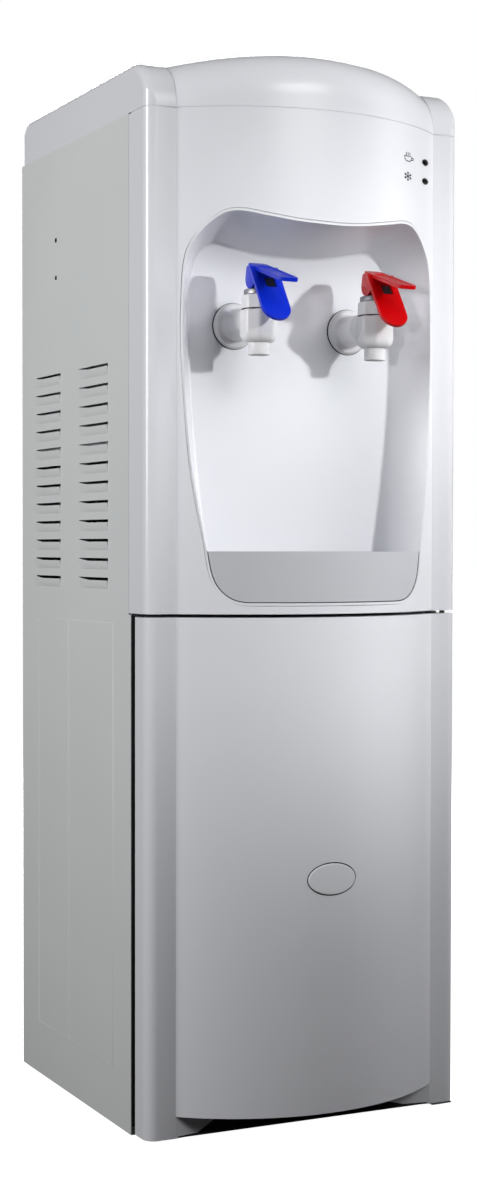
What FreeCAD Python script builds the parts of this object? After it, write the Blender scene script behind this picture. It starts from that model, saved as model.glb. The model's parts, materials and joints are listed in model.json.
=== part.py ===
import FreeCAD, Part
import math
import os
import re
import Sketcher

os.makedirs("parts", exist_ok=True)
doc = FreeCAD.newDocument("water_dispenser")
Vec = FreeCAD.Vector

# driving sizes, millimetres; heights count up from the floor
driving = [
    ("cabinet_width", "313"), ("cabinet_depth", "318"), ("front_plane", "-128.55"),
    ("pillar_width", "27.4"), ("bow_depth", "47.1"), ("corner_radius", "10"),
    ("foot_height", "3"), ("door_bottom", "6"), ("bow_bottom", "25.3"),
    ("deck_level", "465.5"), ("door_gap", "3"), ("fascia_height", "437"),
    ("cover_gap", "1"), ("pillar_rise", "42.5"), ("crown_rise", "53.5"),
    ("top_rounding", "40"), ("shell_wall", "2.5"), ("sheet_wall", "1"),
    ("fascia_return", "40.6"), ("door_return", "26.5"), ("alcove_depth", "34"),
    ("alcove_wall", "2.2"), ("tap_spacing", "116"), ("tap_rise", "256"),
    ("tap_reach", "52"), ("tray_height", "45"), ("hinge_inset", "7"),
    ("hinge_setback", "14.5"), ("louvre_pitch", "17.6"), ("tank_radius", "80"),
    ("tank_height", "220"), ("hot_radius", "52"), ("seat_radius", "124"),
    ("hot_side", "76"), ("toe_depth", "14"), ("coil_pitch", "14"), ("coil_pipe", "3.5"),
    ("alcove_corner", "3"),
]
derived = [
    ("half_width", "=cabinet_width/2"),
    ("half_chord", "=half_width-pillar_width"),
    ("bow_radius", "=(half_chord*half_chord+bow_depth*bow_depth)/(2*bow_depth)"),
    ("bow_centre", "=bow_radius-bow_depth"),
    ("door_top", "=deck_level-door_gap"),
    ("fascia_top", "=deck_level+fascia_height"),
    ("cover_base", "=fascia_top+cover_gap"),
    ("tap_level", "=deck_level+tap_rise"),
    ("tap_side", "=tap_spacing/2"),
    ("tap_front", "=alcove_depth-tap_reach"),
    ("pin_level", "=tap_level+36.5"),
    ("rear", "=cabinet_depth"),
    ("tank_line", "=cabinet_depth/2+11"),
    ("hinge_side", "=half_width-hinge_inset"),
    ("tank_low", "=cover_base-43.5-tank_height"),
    ("shelf_level", "=tank_low-21.5"),
    ("coil_radius", "=tank_radius+5"),
    ("coil_low", "=tank_low+21.5"),
    ("capillary_side", "=20"),
    ("capillary_back", "=sqrt((tank_radius+10.4)^2-capillary_side^2)"),
    ("line_side", "=26.5-half_width"),
    ("cord_side", "=36.5-half_width"),
    ("heating_side", "=61.5-half_width"),
    ("cooling_side", "=96.5-half_width"),
    ("condenser_side", "=half_width-41.5"),
    ("fitting_rear", "=alcove_depth+14"),
    ("hose_rear", "=alcove_depth+28"),
]
sizes = doc.addObject("Spreadsheet::Sheet", "Sizes")
for row, (alias, number) in enumerate(driving + derived, start=1):
    sizes.set(f"A{row}", alias)
    sizes.set(f"B{row}", number)
    sizes.setAlias(f"B{row}", alias)
doc.recompute()
aliases = {alias for alias, number in driving + derived}


def size(alias):
    return float(sizes.get(alias))


def formula(text):
    linked = re.sub(r"[a-z_]+", lambda m: "Sizes." + m[0] if m[0] in aliases else m[0], str(text))
    return linked


def value(text):
    return float(sizes.evalExpression(formula(text)))


front = size("front_plane")
deck = size("deck_level")
half = size("half_width")
wall = size("shell_wall")


def place(item, x, y, z):
    item.setExpression(".Placement.Base.x", formula(x))
    item.setExpression(".Placement.Base.y", formula(f"front_plane + ({y})"))
    item.setExpression(".Placement.Base.z", formula(z))
    return item


def block(x0, x1, y0, y1, z0, z1):
    item = doc.addObject("Part::Box", "block")
    item.setExpression("Length", formula(f"({x1}) - ({x0})"))
    item.setExpression("Width", formula(f"({y1}) - ({y0})"))
    item.setExpression("Height", formula(f"({z1}) - ({z0})"))
    return place(item, x0, y0, z0)


turns = {"x": FreeCAD.Rotation(Vec(0, 1, 0), 90), "y": FreeCAD.Rotation(Vec(1, 0, 0), -90),
         "z": FreeCAD.Rotation()}


def rod(axis, radius, length, x, y, z):
    item = doc.addObject("Part::Cylinder", "rod")
    item.setExpression("Radius", formula(radius))
    item.setExpression("Height", formula(length))
    item.Placement.Rotation = turns[axis]
    return place(item, x, y, z)


def cone(axis, radius_one, radius_two, length, x, y, z):
    item = doc.addObject("Part::Cone", "cone")
    item.setExpression("Radius1", formula(radius_one))
    item.setExpression("Radius2", formula(radius_two))
    item.setExpression("Height", formula(length))
    item.Placement.Rotation = turns[axis]
    return place(item, x, y, z)


def fuse(*items):
    joined = doc.addObject("Part::MultiFuse", "fuse")
    joined.Shapes = list(items)
    return joined


def cut(base, *tools):
    trimmed = doc.addObject("Part::Cut", "cut")
    trimmed.Base = base
    trimmed.Tool = tools[0] if len(tools) == 1 else fuse(*tools)
    return trimmed


def group(*items):
    bundle = doc.addObject("Part::Compound", "group")
    bundle.Links = list(items)
    return bundle


def solid(shape):
    item = doc.addObject("Part::Feature", "shape")
    item.Shape = shape
    return item


nodes = []


def node(label, item):
    item.Label = label
    nodes.append(item)
    return item


def sketch(body, role, offset, points):
    drawing = body.newObject("Sketcher::SketchObject", "outline")
    plane = [p for p in body.Origin.OriginFeatures if p.Role == role][0]
    drawing.AttachmentSupport = [(plane, "")]
    drawing.MapMode = "FlatFace"
    drawing.setExpression("AttachmentOffset.Base.z", formula(offset))
    corners = [Vec(value(a), value(b), 0) for a, b in points]
    count = len(points)
    for i in range(count):
        drawing.addGeometry(Part.LineSegment(corners[i], corners[(i + 1) % count]), False)
    for i in range(count):
        drawing.addConstraint(Sketcher.Constraint("Coincident", i, 2, (i + 1) % count, 1))
    for i, (a, b) in enumerate(points):
        for kind, text, number in (("DistanceX", a, corners[i].x), ("DistanceY", b, corners[i].y)):
            index = drawing.addConstraint(Sketcher.Constraint(kind, -1, 1, i, 1, number))
            drawing.setExpression(f"Constraints[{index}]", formula(text))
    return drawing


def pad(body, role, offset, points, length, middle=False):
    feature = body.newObject("PartDesign::Pad", "pad")
    feature.Profile = sketch(body, role, offset, points)
    feature.setExpression("Length", formula(length))
    feature.Midplane = middle
    return feature


def pocket(body, role, offset, points, length, middle=False):
    feature = body.newObject("PartDesign::Pocket", "pocket")
    feature.Profile = sketch(body, role, offset, points)
    feature.setExpression("Length", formula(length))
    feature.Midplane = middle
    return feature


def repeat(body, original, axis, pitch, times):
    feature = body.newObject("PartDesign::LinearPattern", "pattern")
    feature.Originals = [original]
    line = [p for p in body.Origin.OriginFeatures if p.Role == axis][0]
    feature.Direction = (line, [""])
    feature.setExpression("Length", formula(f"({pitch}) * ({times} - 1)"))
    feature.Occurrences = times
    body.Tip = feature
    return feature


def body_at(y="0", x="0", z="0"):
    return place(doc.addObject("PartDesign::Body", "body"), x, y, z)


def box_points(a0, a1, b0, b1):
    return [(a0, b0), (a1, b0), (a1, b1), (a0, b1)]


# shapes shared by the moulded shells
def plan(inset, back, low, high):
    side = half - inset
    face = front + inset
    corner = max(size("corner_radius") - inset, 0.5)
    radius = size("bow_radius") - inset
    centre = front + size("bow_centre")
    crease = math.sqrt(radius ** 2 - (centre - face) ** 2)
    turn = corner * (1 - math.sqrt(0.5))
    rear = front + back
    arcs = {
        2: (Vec(-side, face + corner, low), Vec(-side + turn, face + turn, low), Vec(-side + corner, face, low)),
        4: (Vec(-crease, face, low), Vec(0, centre - radius, low), Vec(crease, face, low)),
        6: (Vec(side - corner, face, low), Vec(side - turn, face + turn, low), Vec(side, face + corner, low)),
    }
    edges = [
        Part.LineSegment(Vec(-side, rear, low), arcs[2][0]), Part.Arc(*arcs[2]),
        Part.LineSegment(arcs[2][2], arcs[4][0]), Part.Arc(*arcs[4]),
        Part.LineSegment(arcs[4][2], arcs[6][0]), Part.Arc(*arcs[6]),
        Part.LineSegment(arcs[6][2], Vec(side, rear, low)),
        Part.LineSegment(Vec(side, rear, low), Vec(-side, rear, low)),
    ]
    wire = Part.Wire([edge.toShape() for edge in edges])
    return Part.Face(wire).extrude(Vec(0, 0, high - low))


def bow(inset, low, high):
    radius = size("bow_radius") - inset
    centre = front + size("bow_centre")
    return Part.makeCylinder(radius, high - low, Vec(0, centre, low))


def slab(x0, x1, y0, y1, z0, z1):
    return Part.makeBox(x1 - x0, y1 - y0, z1 - z0, Vec(x0, front + y0, z0))


# half outline of the recess on a cabinet of the drawn half width: across and up from the deck,
# first on the bow, then at the back wall
drawn_half = 156.5
recess = [
    (0, 339, 0, 320.5), (34, 340.8, 28, 321.5), (50, 343.1, 42, 323.5), (65, 345.7, 55, 326),
    (80, 348.3, 68, 328.5), (91, 347.5, 78, 329), (102, 341.3, 87, 324.5), (112, 331.5, 94.5, 315.5),
    (119, 320.5, 98.5, 303.5), (122.3, 305.5, 100.5, 287.5), (124, 277.5, 101.5, 259.5),
    (124.6, 240.5, 101.5, 227.5), (122.7, 195.5, 100, 187.5), (118, 128.5, 94.5, 127.5),
    (113.5, 93.5, 90.5, 93.5), (107.2, 55.5, 86, 58.5), (104.6, 37.5, 84, 41.5),
    (101, 25.5, 80.5, 29.5), (94, 16, 74, 20.5), (84, 10.5, 65, 15.5), (70, 9.5, 52, 14.5),
    (35, 9.5, 26, 14.5), (0, 9.5, 0, 14.5),
]


def ring_points(column):
    right = [(row[column] * half / drawn_half, row[column + 1] + deck) for row in recess]
    return right + [(-x, z) for x, z in right[-2:0:-1]]


def swell(points, grow):
    count = len(points)
    moved = []
    for i, (x, z) in enumerate(points):
        ax, az = points[i - 1]
        bx, bz = points[(i + 1) % count]
        length = math.hypot(bx - ax, bz - az)
        moved.append((x - grow * (bz - az) / length, z + grow * (bx - ax) / length))
    return moved


def ring(points, depth):
    curve = Part.BSplineCurve()
    curve.interpolate(Points=[Vec(x, front + y, z) for (x, z), y in zip(points, depth)],
                      PeriodicFlag=True)
    return Part.Wire([curve.toShape()])


def recess_plug(grow, rear):
    near = ring_points(0)
    far = ring_points(2)
    centre = size("bow_centre")
    radius = size("bow_radius")
    start = -60.0
    out = []
    back = []
    for (x, z), (fx, fz) in zip(near, far):
        on_bow = centre - math.sqrt(radius ** 2 - x ** 2)
        reach = (start - on_bow) / (size("alcove_depth") - on_bow)
        out.append((x + reach * (fx - x), z + reach * (fz - z)))
        deeper = (rear - on_bow) / (size("alcove_depth") - on_bow)
        back.append((x + deeper * (fx - x), z + deeper * (fz - z)))
    first = ring(swell(out, grow), [start] * len(out))
    last = ring(swell(back, grow), [rear] * len(back))
    return Part.makeLoft([first, last], True, True)


def bow_front(inset, low, high):
    return plan(inset, 120, low, high)


# sheet-steel cabinet
pan = cut(block("1-half_width", "half_width-1", 36, "rear-2", "foot_height", "foot_height+25"),
          block("2.5-half_width", "half_width-2.5", 37.5, "rear-3.5", "foot_height+1.5", "foot_height+40"))
tongue = block("half_width-22", "half_width-1", 4, 37, "foot_height", "foot_height+1.5")
node("base_pan", cut(fuse(pan, tongue),
                     rod("z", 2.5, 10, "hinge_side", "hinge_setback", "foot_height-2")))

feet = [rod("z", 15, "foot_height", x, y, 0)
        for x in ("26-half_width", "half_width-26") for y in (62, "rear-26")]
node("levelling_feet", group(*feet))

screw_heights = (40, 320, 600, 880)
side_screws = ((222, "deck_level+352"), (222, "deck_level+316"))
flange_screws = [(x, f"foot_height + (cover_base-foot_height)*{z}/920")
                 for x in ("8-half_width", "half_width-8") for z in screw_heights]


def side_panel(label, sign):
    body = body_at()
    near = "-half_width" if sign < 0 else "half_width-sheet_wall"
    inner = "sheet_wall-half_width" if sign < 0 else "half_width-13"
    top = "cover_base"
    outline = [("36", "foot_height"), ("rear", "foot_height"), ("rear", top), ("41", top),
               ("41", "deck_level-1.5"), ("36", "deck_level-1.5")]
    pad(body, "YZ_Plane", near, outline, "sheet_wall")
    for y0, y1, z0, z1 in (("36", "37", "foot_height+27", "deck_level-5.5"),
                           ("41", "42", "deck_level+4.5", "cover_base-10"),
                           ("rear-1", "rear", "foot_height", top)):
        pad(body, "YZ_Plane", inner, box_points(y0, y1, z0, z1), "13-sheet_wall")
    for y0, y1 in (("89.5", "162"), ("rear-108", "rear-41")):
        slot = pocket(body, "YZ_Plane", near, box_points(y0, y1, "deck_level+27.5", "deck_level+30.5"),
                      "6", True)
        repeat(body, slot, "Z_Axis", "louvre_pitch", 12)
    holes = [rod("x", 1.7, 8, f"{near} - 3", y, z) for y, z in side_screws]
    holes += [rod("y", 1.7, 6, x, "rear-3", z) for x, z in flange_screws]
    return node(label, cut(body, *holes))


side_panel("left_side_panel", -1)
side_panel("right_side_panel", 1)

panel = block("1.5-half_width", "half_width-1.5", "rear-2", "rear-1", "foot_height+1", "cover_base-1")
vents = [block(x, f"{x}+60", "rear-4", "rear+2", f"deck_level+{z}", f"deck_level+{z}+4")
         for x in ("-30", "50") for z in range(240, 400, 20)]
openings = vents + [rod("y", 1.7, 6, x, "rear-4", z) for x, z in flange_screws]
openings += [block(f"{x}-9", f"{x}+9", "rear-4", "rear+2", "deck_level+81.5", "deck_level+107.5")
             for x in ("heating_side", "cooling_side")]
openings += [rod("y", 8, 8, "hot_side", "rear-6", "deck_level+24.5"),
             rod("y", 6.5, 8, "cord_side", "rear-6", "deck_level+40"),
             rod("y", 4, 8, "line_side", "rear-6", 90),
             rod("y", 4, 8, "line_side", "rear-6", "deck_level-60.5")]
node("back_panel", cut(panel, *openings))


def screw(axis, x, y, z, flip):
    if axis == "x":
        start = f"{x}" if flip < 0 else f"{x}-6"
        head = f"{x}-1.6" if flip < 0 else f"{x}"
        return fuse(rod("x", 1.7, 6, start, y, z), rod("x", 3.6, 1.6, head, y, z))
    return fuse(rod("y", 1.7, 8, x, f"{y}-8", z), rod("y", 3.6, 1.8, x, y, z))


screws = [screw("y", x, "rear", z, 1) for x, z in flange_screws]
screws += [screw("x", "-half_width", y, z, -1) for y, z in side_screws]
screws += [screw("x", "half_width", y, z, 1) for y, z in side_screws]
node("panel_screws", group(*screws))

deck_plate = block("1.3-half_width", "half_width-1.3", 37.6, "rear-2.2", "deck_level-1.5", "deck_level")
node("mid_deck", cut(deck_plate, block(-12, 32, "tank_line+coil_radius-15", "tank_line+coil_radius+13", "deck_level-5", "deck_level+5")))

shelf = block("1.3-half_width", "half_width-1.3", 75, "rear-20", "shelf_level-1.5", "shelf_level")
lips = [block(x0, x1, 75, "rear-20", "shelf_level-16.5", "shelf_level-1.5")
        for x0, x1 in (("1.3-half_width", "2.8-half_width"), ("half_width-2.8", "half_width-1.3"))]
shelf_holes = [rod("z", 7, 8, 0, "tank_line", "shelf_level-5"),
               rod("z", 7, 8, -45, "tank_line-20", "shelf_level-5"),
               block(-12, 32, "tank_line+coil_radius-15", "tank_line+coil_radius+13",
                     "shelf_level-5", "shelf_level+3")]
node("tank_shelf", cut(fuse(shelf, *lips), *shelf_holes))

# storage compartment
liner = fuse(block("1.6-half_width", "half_width-1.6", 37.2, 39.2, "foot_height+25.2", "deck_level-1.7"),
             block("14.5-half_width", "half_width-14.5", 39.2, "rear-128", "foot_height+27", "deck_level-9"))
room = block("16.5-half_width", "half_width-16.5", 30, "rear-130", "foot_height+29", "deck_level-11")
ledges = [block(x0, x1, 45, "rear-138", "deck_level/2-3", "deck_level/2+1")
          for x0, x1 in (("15.5-half_width", "23-half_width"), ("half_width-23", "half_width-15.5"))]
node("storage_liner", fuse(cut(liner, room), *ledges))

shelf_body = body_at()
pad(shelf_body, "XY_Plane", "deck_level/2+1.2",
    box_points("17-half_width", "half_width-17", "42", "rear-131"), "3.6")
pocket(shelf_body, "XY_Plane", "deck_level/2+4.8",
       box_points("22-half_width", "half_width-22", "47", "rear-136"), "1.2")
node("storage_shelf", shelf_body)

# front mouldings
fascia_low = deck
fascia_high = size("fascia_top")
fascia = plan(0, size("fascia_return"), fascia_low, fascia_high)
fascia = fascia.cut(plan(wall, size("fascia_return") + 20, fascia_low + wall, fascia_high + 5))
lamp_x = 114.35 * half / drawn_half
for across, up in ((106, 414.5), (122, 384.5)):
    post = Part.makeCylinder(2, 45, Vec(across * half / drawn_half, front - 40, deck + up), Vec(0, 1, 0))
    fascia = fascia.fuse(post.common(bow_front(wall - 0.6, deck, fascia_high)))
fascia = fascia.cut(recess_plug(size("alcove_wall") + 0.5, 60))
for up in (408.5, 391.5):
    fascia = fascia.cut(Part.makeCylinder(3.3, 60, Vec(lamp_x, front - 55, deck + up), Vec(0, 1, 0)))
fascia = fascia.cut(Part.makeCylinder(2.5, 8, Vec(size("hinge_side"), front + size("hinge_setback"), deck - 2)))
node("front_fascia", solid(fascia))

inner_plug = recess_plug(0, size("alcove_depth"))
rim = [e for e in inner_plug.Edges if abs(e.CenterOfMass.y - front - size("alcove_depth")) < 0.5]
inner_plug = inner_plug.makeFillet(size("alcove_corner"), rim)
outer_plug = recess_plug(size("alcove_wall"), size("alcove_depth") + size("alcove_wall"))
alcove = outer_plug.cut(inner_plug).common(bow_front(0, deck, fascia_high))
for side in (-1, 1):
    start = Vec(side * size("tap_side"), front + 10, size("tap_level"))
    alcove = alcove.cut(Part.makeCylinder(10.1, 40, start, Vec(0, 1, 0)))
node("tap_alcove", solid(alcove))

lens = [rod("y", 3.2, 17.5, f"half_width*{lamp_x / half:.6f}", -12.5, f"deck_level+{up}")
        for up in (408.5, 391.5)]
node("indicator_lenses", group(*lens))
node("indicator_board", block("half_width*0.64", "half_width*0.82", 5, 6.6, "deck_level+378", "deck_level+420"))


def side_profile(across, face, top, rounding, back, back_round, low):
    turn = rounding * (1 - math.sqrt(0.5))
    bend = back_round * (1 - math.sqrt(0.5))
    corners = [(back, low), (face, low), (face, top - rounding)]
    shoulder = [(face, top - rounding), (face + turn, top - turn), (face + rounding, top)]
    heel = [(back - back_round, top), (back - bend, top - bend), (back, top - back_round)]
    where = [Vec(across, front + y, z) for y, z in corners]
    one = [Vec(across, front + y, z) for y, z in shoulder]
    two = [Vec(across, front + y, z) for y, z in heel]
    edges = [Part.LineSegment(where[0], where[1]), Part.LineSegment(where[1], where[2]), Part.Arc(*one),
             Part.LineSegment(one[2], two[0]), Part.Arc(*two), Part.LineSegment(two[2], where[0])]
    return Part.Wire([edge.toShape() for edge in edges])


def cover_body(inset, low):
    base = size("cover_base")
    back = size("cabinet_depth") - inset
    rounding = size("top_rounding") - inset
    chord = size("half_chord")
    radius = size("bow_radius") - inset
    crown = size("crown_rise")
    edge_rise = size("pillar_rise") - 1.5
    stations = [chord * k / 6 for k in range(-6, 7)]
    profiles = []
    for across in stations:
        face = size("bow_centre") - math.sqrt(max(radius ** 2 - across ** 2, 0))
        top = base + edge_rise + (crown - edge_rise) * (1 - (across / chord) ** 2) - inset
        profiles.append(side_profile(across, face, top, rounding, back, 20 - inset, low))
    shape = Part.makeLoft(profiles, True, False)
    corners = plan(inset, size("cabinet_depth") - inset, low, base + 80)
    uprights = [e for e in corners.Edges if e.CenterOfMass.y > front + back - 0.5
                and abs(e.CenterOfMass.x) > half - inset - 0.5]
    corners = corners.makeFillet(9 - inset, uprights)
    for sign in (-1, 1):
        profile = side_profile(sign * (chord - 0.02), inset, base + size("pillar_rise") - inset,
                               rounding, back, 20 - inset, low)
        pillar = Part.Face(profile).extrude(Vec(sign * (half - inset - chord + 0.02), 0, 0))
        long_edges = [e for e in pillar.Edges
                      if abs(abs(e.CenterOfMass.x) - half + inset) < 0.01 and e.CenterOfMass.z > base + 20
                      and e.CenterOfMass.y > front + inset + 3 and e.CenterOfMass.y < front + back - 3]
        shape = shape.fuse(pillar.makeFillet(7 - inset, long_edges).common(corners))
    return shape


cover_low = size("cover_base")
well_z = cover_low + 39.5
well_y = front + size("tank_line")
skin = cover_body(0, cover_low)
cover = skin.cut(cover_body(wall, cover_low - 10))
well = Part.makeCylinder(size("seat_radius") + 3, 80, Vec(0, well_y, well_z - wall))
cover = cover.fuse(well.common(skin))
cover = cover.cut(Part.makeCylinder(size("seat_radius") + 0.6, 80, Vec(0, well_y, well_z)))
cover = cover.cut(Part.makeCylinder(size("seat_radius") - 16, 120, Vec(0, well_y, cover_low - 5)))
lip = plan(wall + 0.3, 316, cover_low - 8, cover_low + 6).cut(plan(wall + 2.3, 314, cover_low - 9, cover_low + 7))
lip = lip.common(slab(-60, 60, -60, 60, cover_low - 9, cover_low + 7))
cover = cover.fuse(lip)
node("top_cover", solid(cover))

# bottle seat and probe
profile = [("seat_radius", "cover_base+39.7"), ("seat_radius", "cover_base+42.5"),
           ("seat_radius-14", "cover_base+42.5"), ("seat_radius-22", "cover_base+36"),
           ("27.5", "cover_base-16.5"), ("27.5", "cover_base-53.5"), ("30", "cover_base-53.5"),
           ("30", "cover_base-18"), ("seat_radius-20.5", "cover_base+33"),
           ("seat_radius-17", "cover_base+39.7")]
seat = body_at("tank_line")
turned = seat.newObject("PartDesign::Revolution", "turned")
turned.Profile = sketch(seat, "XZ_Plane", "0", profile)
turned.ReferenceAxis = ([p for p in seat.Origin.OriginFeatures if p.Role == "Z_Axis"][0], [""])
turned.Angle = 360
node("bottle_seat", seat)

probe = fuse(rod("z", 12, 60, 0, "tank_line", "cover_base-50"),
             cone("z", 12, 5, 12, 0, "tank_line", "cover_base+10"),
             block(-27.4, 27.4, "tank_line-1.5", "tank_line+1.5", "cover_base-45", "cover_base-40"),
             block(-1.5, 1.5, "tank_line-27.4", "tank_line+27.4", "cover_base-45", "cover_base-40"))
node("water_probe", cut(probe, rod("z", 9, 55, 0, "tank_line", "cover_base-55"),
                        rod("x", 3, 40, -20, "tank_line", "cover_base-8"),
                        rod("y", 3, 40, 0, "tank_line-20", "cover_base-8")))

# cold side
cold = cut(fuse(rod("z", "tank_radius", "tank_height", 0, "tank_line", "tank_low"),
                rod("z", 4, 26, 0, "tank_line", "tank_low-25.5"),
                rod("z", 4, 26, -45, "tank_line-20", "tank_low-25.5")),
           rod("z", "tank_radius-1", "tank_height", 0, "tank_line", "tank_low+1"),
           rod("z", 3, 40, 0, "tank_line", "tank_low-34.5"),
           rod("z", 3, 40, -45, "tank_line-20", "tank_low-34.5"))
node("cold_tank", cold)
node("cold_tank_lid", cut(rod("z", "tank_radius+2", 2, 0, "tank_line", "tank_low+tank_height"),
                          rod("z", 30.3, 10, 0, "tank_line", "tank_low+tank_height-4")))
jacket = cut(rod("z", "tank_radius+30", "tank_height+19.3", 0, "tank_line", "shelf_level+0.2"),
             rod("z", "tank_radius+12", "tank_height+20", 0, "tank_line", "tank_low"),
             rod("z", 4.3, 40, 0, "tank_line", "tank_low-34.5"),
             rod("z", 4.3, 40, -45, "tank_line-20", "tank_low-34.5"),
             rod("z", 4, 40, 0, "tank_line+coil_radius", "tank_low-34.5"),
             rod("z", 1.9, 40, "capillary_side", "tank_line+capillary_back", "tank_low-34.5"))
node("tank_insulation", jacket)

# rings of tube round the tank, joined by a header, with a sleeve where the capillary is brazed in


def torus(radius, pipe, z):
    item = doc.addObject("Part::Torus", "torus")
    item.setExpression("Radius1", formula(radius))
    item.setExpression("Radius2", formula(pipe))
    return place(item, 0, "tank_line", z)


rings = [torus("coil_radius", "coil_pipe", f"coil_low+{k}*coil_pitch") for k in range(8)]
coil_top = "coil_low+7*coil_pitch"
sleeve_back = "tank_line+sqrt(coil_radius^2-capillary_side^2)"
node("evaporator_coil", fuse(*rings, rod("z", 4.6, "7*coil_pitch+13.2", 0, "tank_line+coil_radius", "coil_low-6.6"),
                             rod("z", 3.2, 54, 0, "tank_line+coil_radius", "coil_low-58"),
                             rod("z", 4.6, 9, "capillary_side", sleeve_back, f"{coil_top}-4.5"),
                             rod("z", 1.4, f"58+{coil_top}-coil_low", "capillary_side",
                                 "tank_line+capillary_back", "coil_low-58")))
node("tank_baffle", cut(fuse(rod("z", "tank_radius-2", 2, 0, "tank_line", "tank_low+80"),
                             rod("z", 6, 79, 0, "tank_line", "tank_low+1")),
                        rod("z", 4.5, 120, 0, "tank_line", "tank_low-10")))

# hot side
hot_x = "hot_side"
hot_y = "tank_line+tank_radius/2"
hot = fuse(rod("z", "hot_radius", 106, hot_x, hot_y, "deck_level+10.5"),
           rod("x", 3.5, 22, f"{hot_x}-hot_radius-20", hot_y, "deck_level+24.5"),
           rod("y", 3.5, 22, hot_x, f"{hot_y}-hot_radius-20", "deck_level+99.5"))
hot = cut(hot, rod("z", "hot_radius-1.2", 103.6, hot_x, hot_y, "deck_level+11.7"),
          rod("x", 2.5, 30, f"{hot_x}-hot_radius-24", hot_y, "deck_level+24.5"),
          rod("y", 2.5, 30, hot_x, f"{hot_y}-hot_radius-24", "deck_level+99.5"))
node("hot_tank", hot)
node("hot_tank_jacket", cut(rod("z", "hot_radius+14", 128, hot_x, hot_y, "deck_level"),
                            rod("z", "hot_radius+4", 110, hot_x, hot_y, "deck_level+10.5"),
                            rod("x", 3.8, 40, f"{hot_x}-hot_radius-30", hot_y, "deck_level+24.5"),
                            rod("y", 3.8, 40, hot_x, f"{hot_y}-hot_radius-30", "deck_level+99.5"),
                            rod("y", 8.2, 80, hot_x, f"{hot_y}+10", "deck_level+24.5")))
node("heater_element", cut(rod("z", "hot_radius+3.5", 40, hot_x, hot_y, "deck_level+36"),
                           rod("z", "hot_radius+0.1", 44, hot_x, hot_y, "deck_level+34")))
node("thermostats", group(rod("z", 8, 4, f"{hot_x}-18", hot_y, "deck_level+116.5"),
                          rod("z", 8, 4, f"{hot_x}+18", hot_y, "deck_level+116.5")))
drain = fuse(rod("y", 8, f"rear+12-({hot_y}+hot_radius)", hot_x, f"{hot_y}+hot_radius", "deck_level+24.5"),
             rod("y", 13, 2, hot_x, "rear-1", "deck_level+24.5"))
node("drain_outlet", cut(drain, rod("y", 6, 120, hot_x, f"{hot_y}+hot_radius-2", "deck_level+24.5")))
cap = cut(rod("y", 12, 14.5, hot_x, "rear+1.2", "deck_level+24.5"),
          rod("y", 8.08, 11.3, hot_x, "rear+1", "deck_level+24.5"))
grips = [block(f"{hot_x}+11", f"{hot_x}+13.4", "rear+2", "rear+14", "deck_level+23", "deck_level+26"),
         block(f"{hot_x}-13.4", f"{hot_x}-11", "rear+2", "rear+14", "deck_level+23", "deck_level+26")]
node("drain_cap", fuse(cap, *grips))


def tube(points, radius, bend, bore=0):
    where = [Vec(value(x), front + value(y), value(z)) for x, y, z in points]
    edges = []
    start = where[0]
    for i in range(1, len(where) - 1):
        into = (where[i] - start).normalize()
        away = (where[i + 1] - where[i]).normalize()
        turn = into.getAngle(away)
        reach = bend * math.tan(turn / 2)
        one = where[i] - into * reach
        two = where[i] + away * reach
        middle_line = (away - into).normalize()
        centre = where[i] + middle_line * (bend / math.cos(turn / 2))
        middle = centre - middle_line * bend
        edges.append(Part.LineSegment(start, one).toShape())
        edges.append(Part.Arc(one, middle, two).toShape())
        start = two
    edges.append(Part.LineSegment(start, where[-1]).toShape())
    path = Part.Wire(edges)
    shapes = []
    for r in (radius, bore):
        if r:
            circle = Part.Circle(where[0], (where[1] - where[0]).normalize(), r).toShape()
            shapes.append(path.makePipeShell([Part.Wire([circle])], True, True))
    return shapes[0].cut(shapes[1]) if bore else shapes[0]


# pipes and hoses
hoses = [
    tube([(-45, "tank_line-20", "tank_low-25.5"), (-45, "tank_line-20", "tank_low-50.5"),
          ("-tap_side", "hose_rear", "tank_low-50.5"), ("-tap_side", "hose_rear", "tap_level"),
          ("-tap_side", "fitting_rear", "tap_level")], 5, 5.9, 3),
    tube([(hot_x, f"{hot_y}-hot_radius-20", "deck_level+99.5"), (hot_x, 112, "deck_level+99.5"),
          ("tap_side", "hose_rear", "deck_level+99.5"), ("tap_side", "hose_rear", "tap_level"),
          ("tap_side", "fitting_rear", "tap_level")], 5, 5.9, 3),
    tube([(0, "tank_line", "tank_low-25.5"), (0, "tank_line", "deck_level+80"),
          (f"{hot_x}-hot_radius-34", hot_y, "deck_level+24.5"),
          (f"{hot_x}-hot_radius-20", hot_y, "deck_level+24.5")], 5, 8, 3),
]
node("water_hoses", solid(Part.makeCompound(hoses)))

comp_x = -60
comp_y = "rear-66"
lines = [
    tube([(0, "tank_line+coil_radius", "coil_low-58"), (0, "tank_line+coil_radius", "260"),
          (comp_x, comp_y, 230), (comp_x, comp_y, 150)], 3.2, 8),
    tube([(f"{comp_x}+30", comp_y, 144.9), (f"{comp_x}+30", comp_y, 180), ("line_side", "rear-33", 180),
          ("line_side", "rear-33", 90), ("line_side", "rear+14", 90), ("-condenser_side", "rear+14", 90)],
         2.5, 6),
    tube([("-condenser_side", "rear+14", "deck_level-60.5"), ("line_side", "rear+14", "deck_level-60.5"),
          ("line_side", "rear-28", "deck_level-60.5"), ("line_side", "rear-28", 340)], 2.5, 6),
    tube([("line_side", "rear-28", 260), ("line_side", "rear-28", 230), ("line_side+30", "rear-40", 230),
          ("line_side+30", "rear-40", "deck_level-45"), ("capillary_side", "rear-40", "deck_level-35"),
          ("capillary_side", "tank_line+capillary_back", "deck_level-15"),
          ("capillary_side", "tank_line+capillary_back", "coil_low-58")], 1.4, 5),
]
node("refrigerant_lines", solid(Part.makeCompound(lines)))
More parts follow.
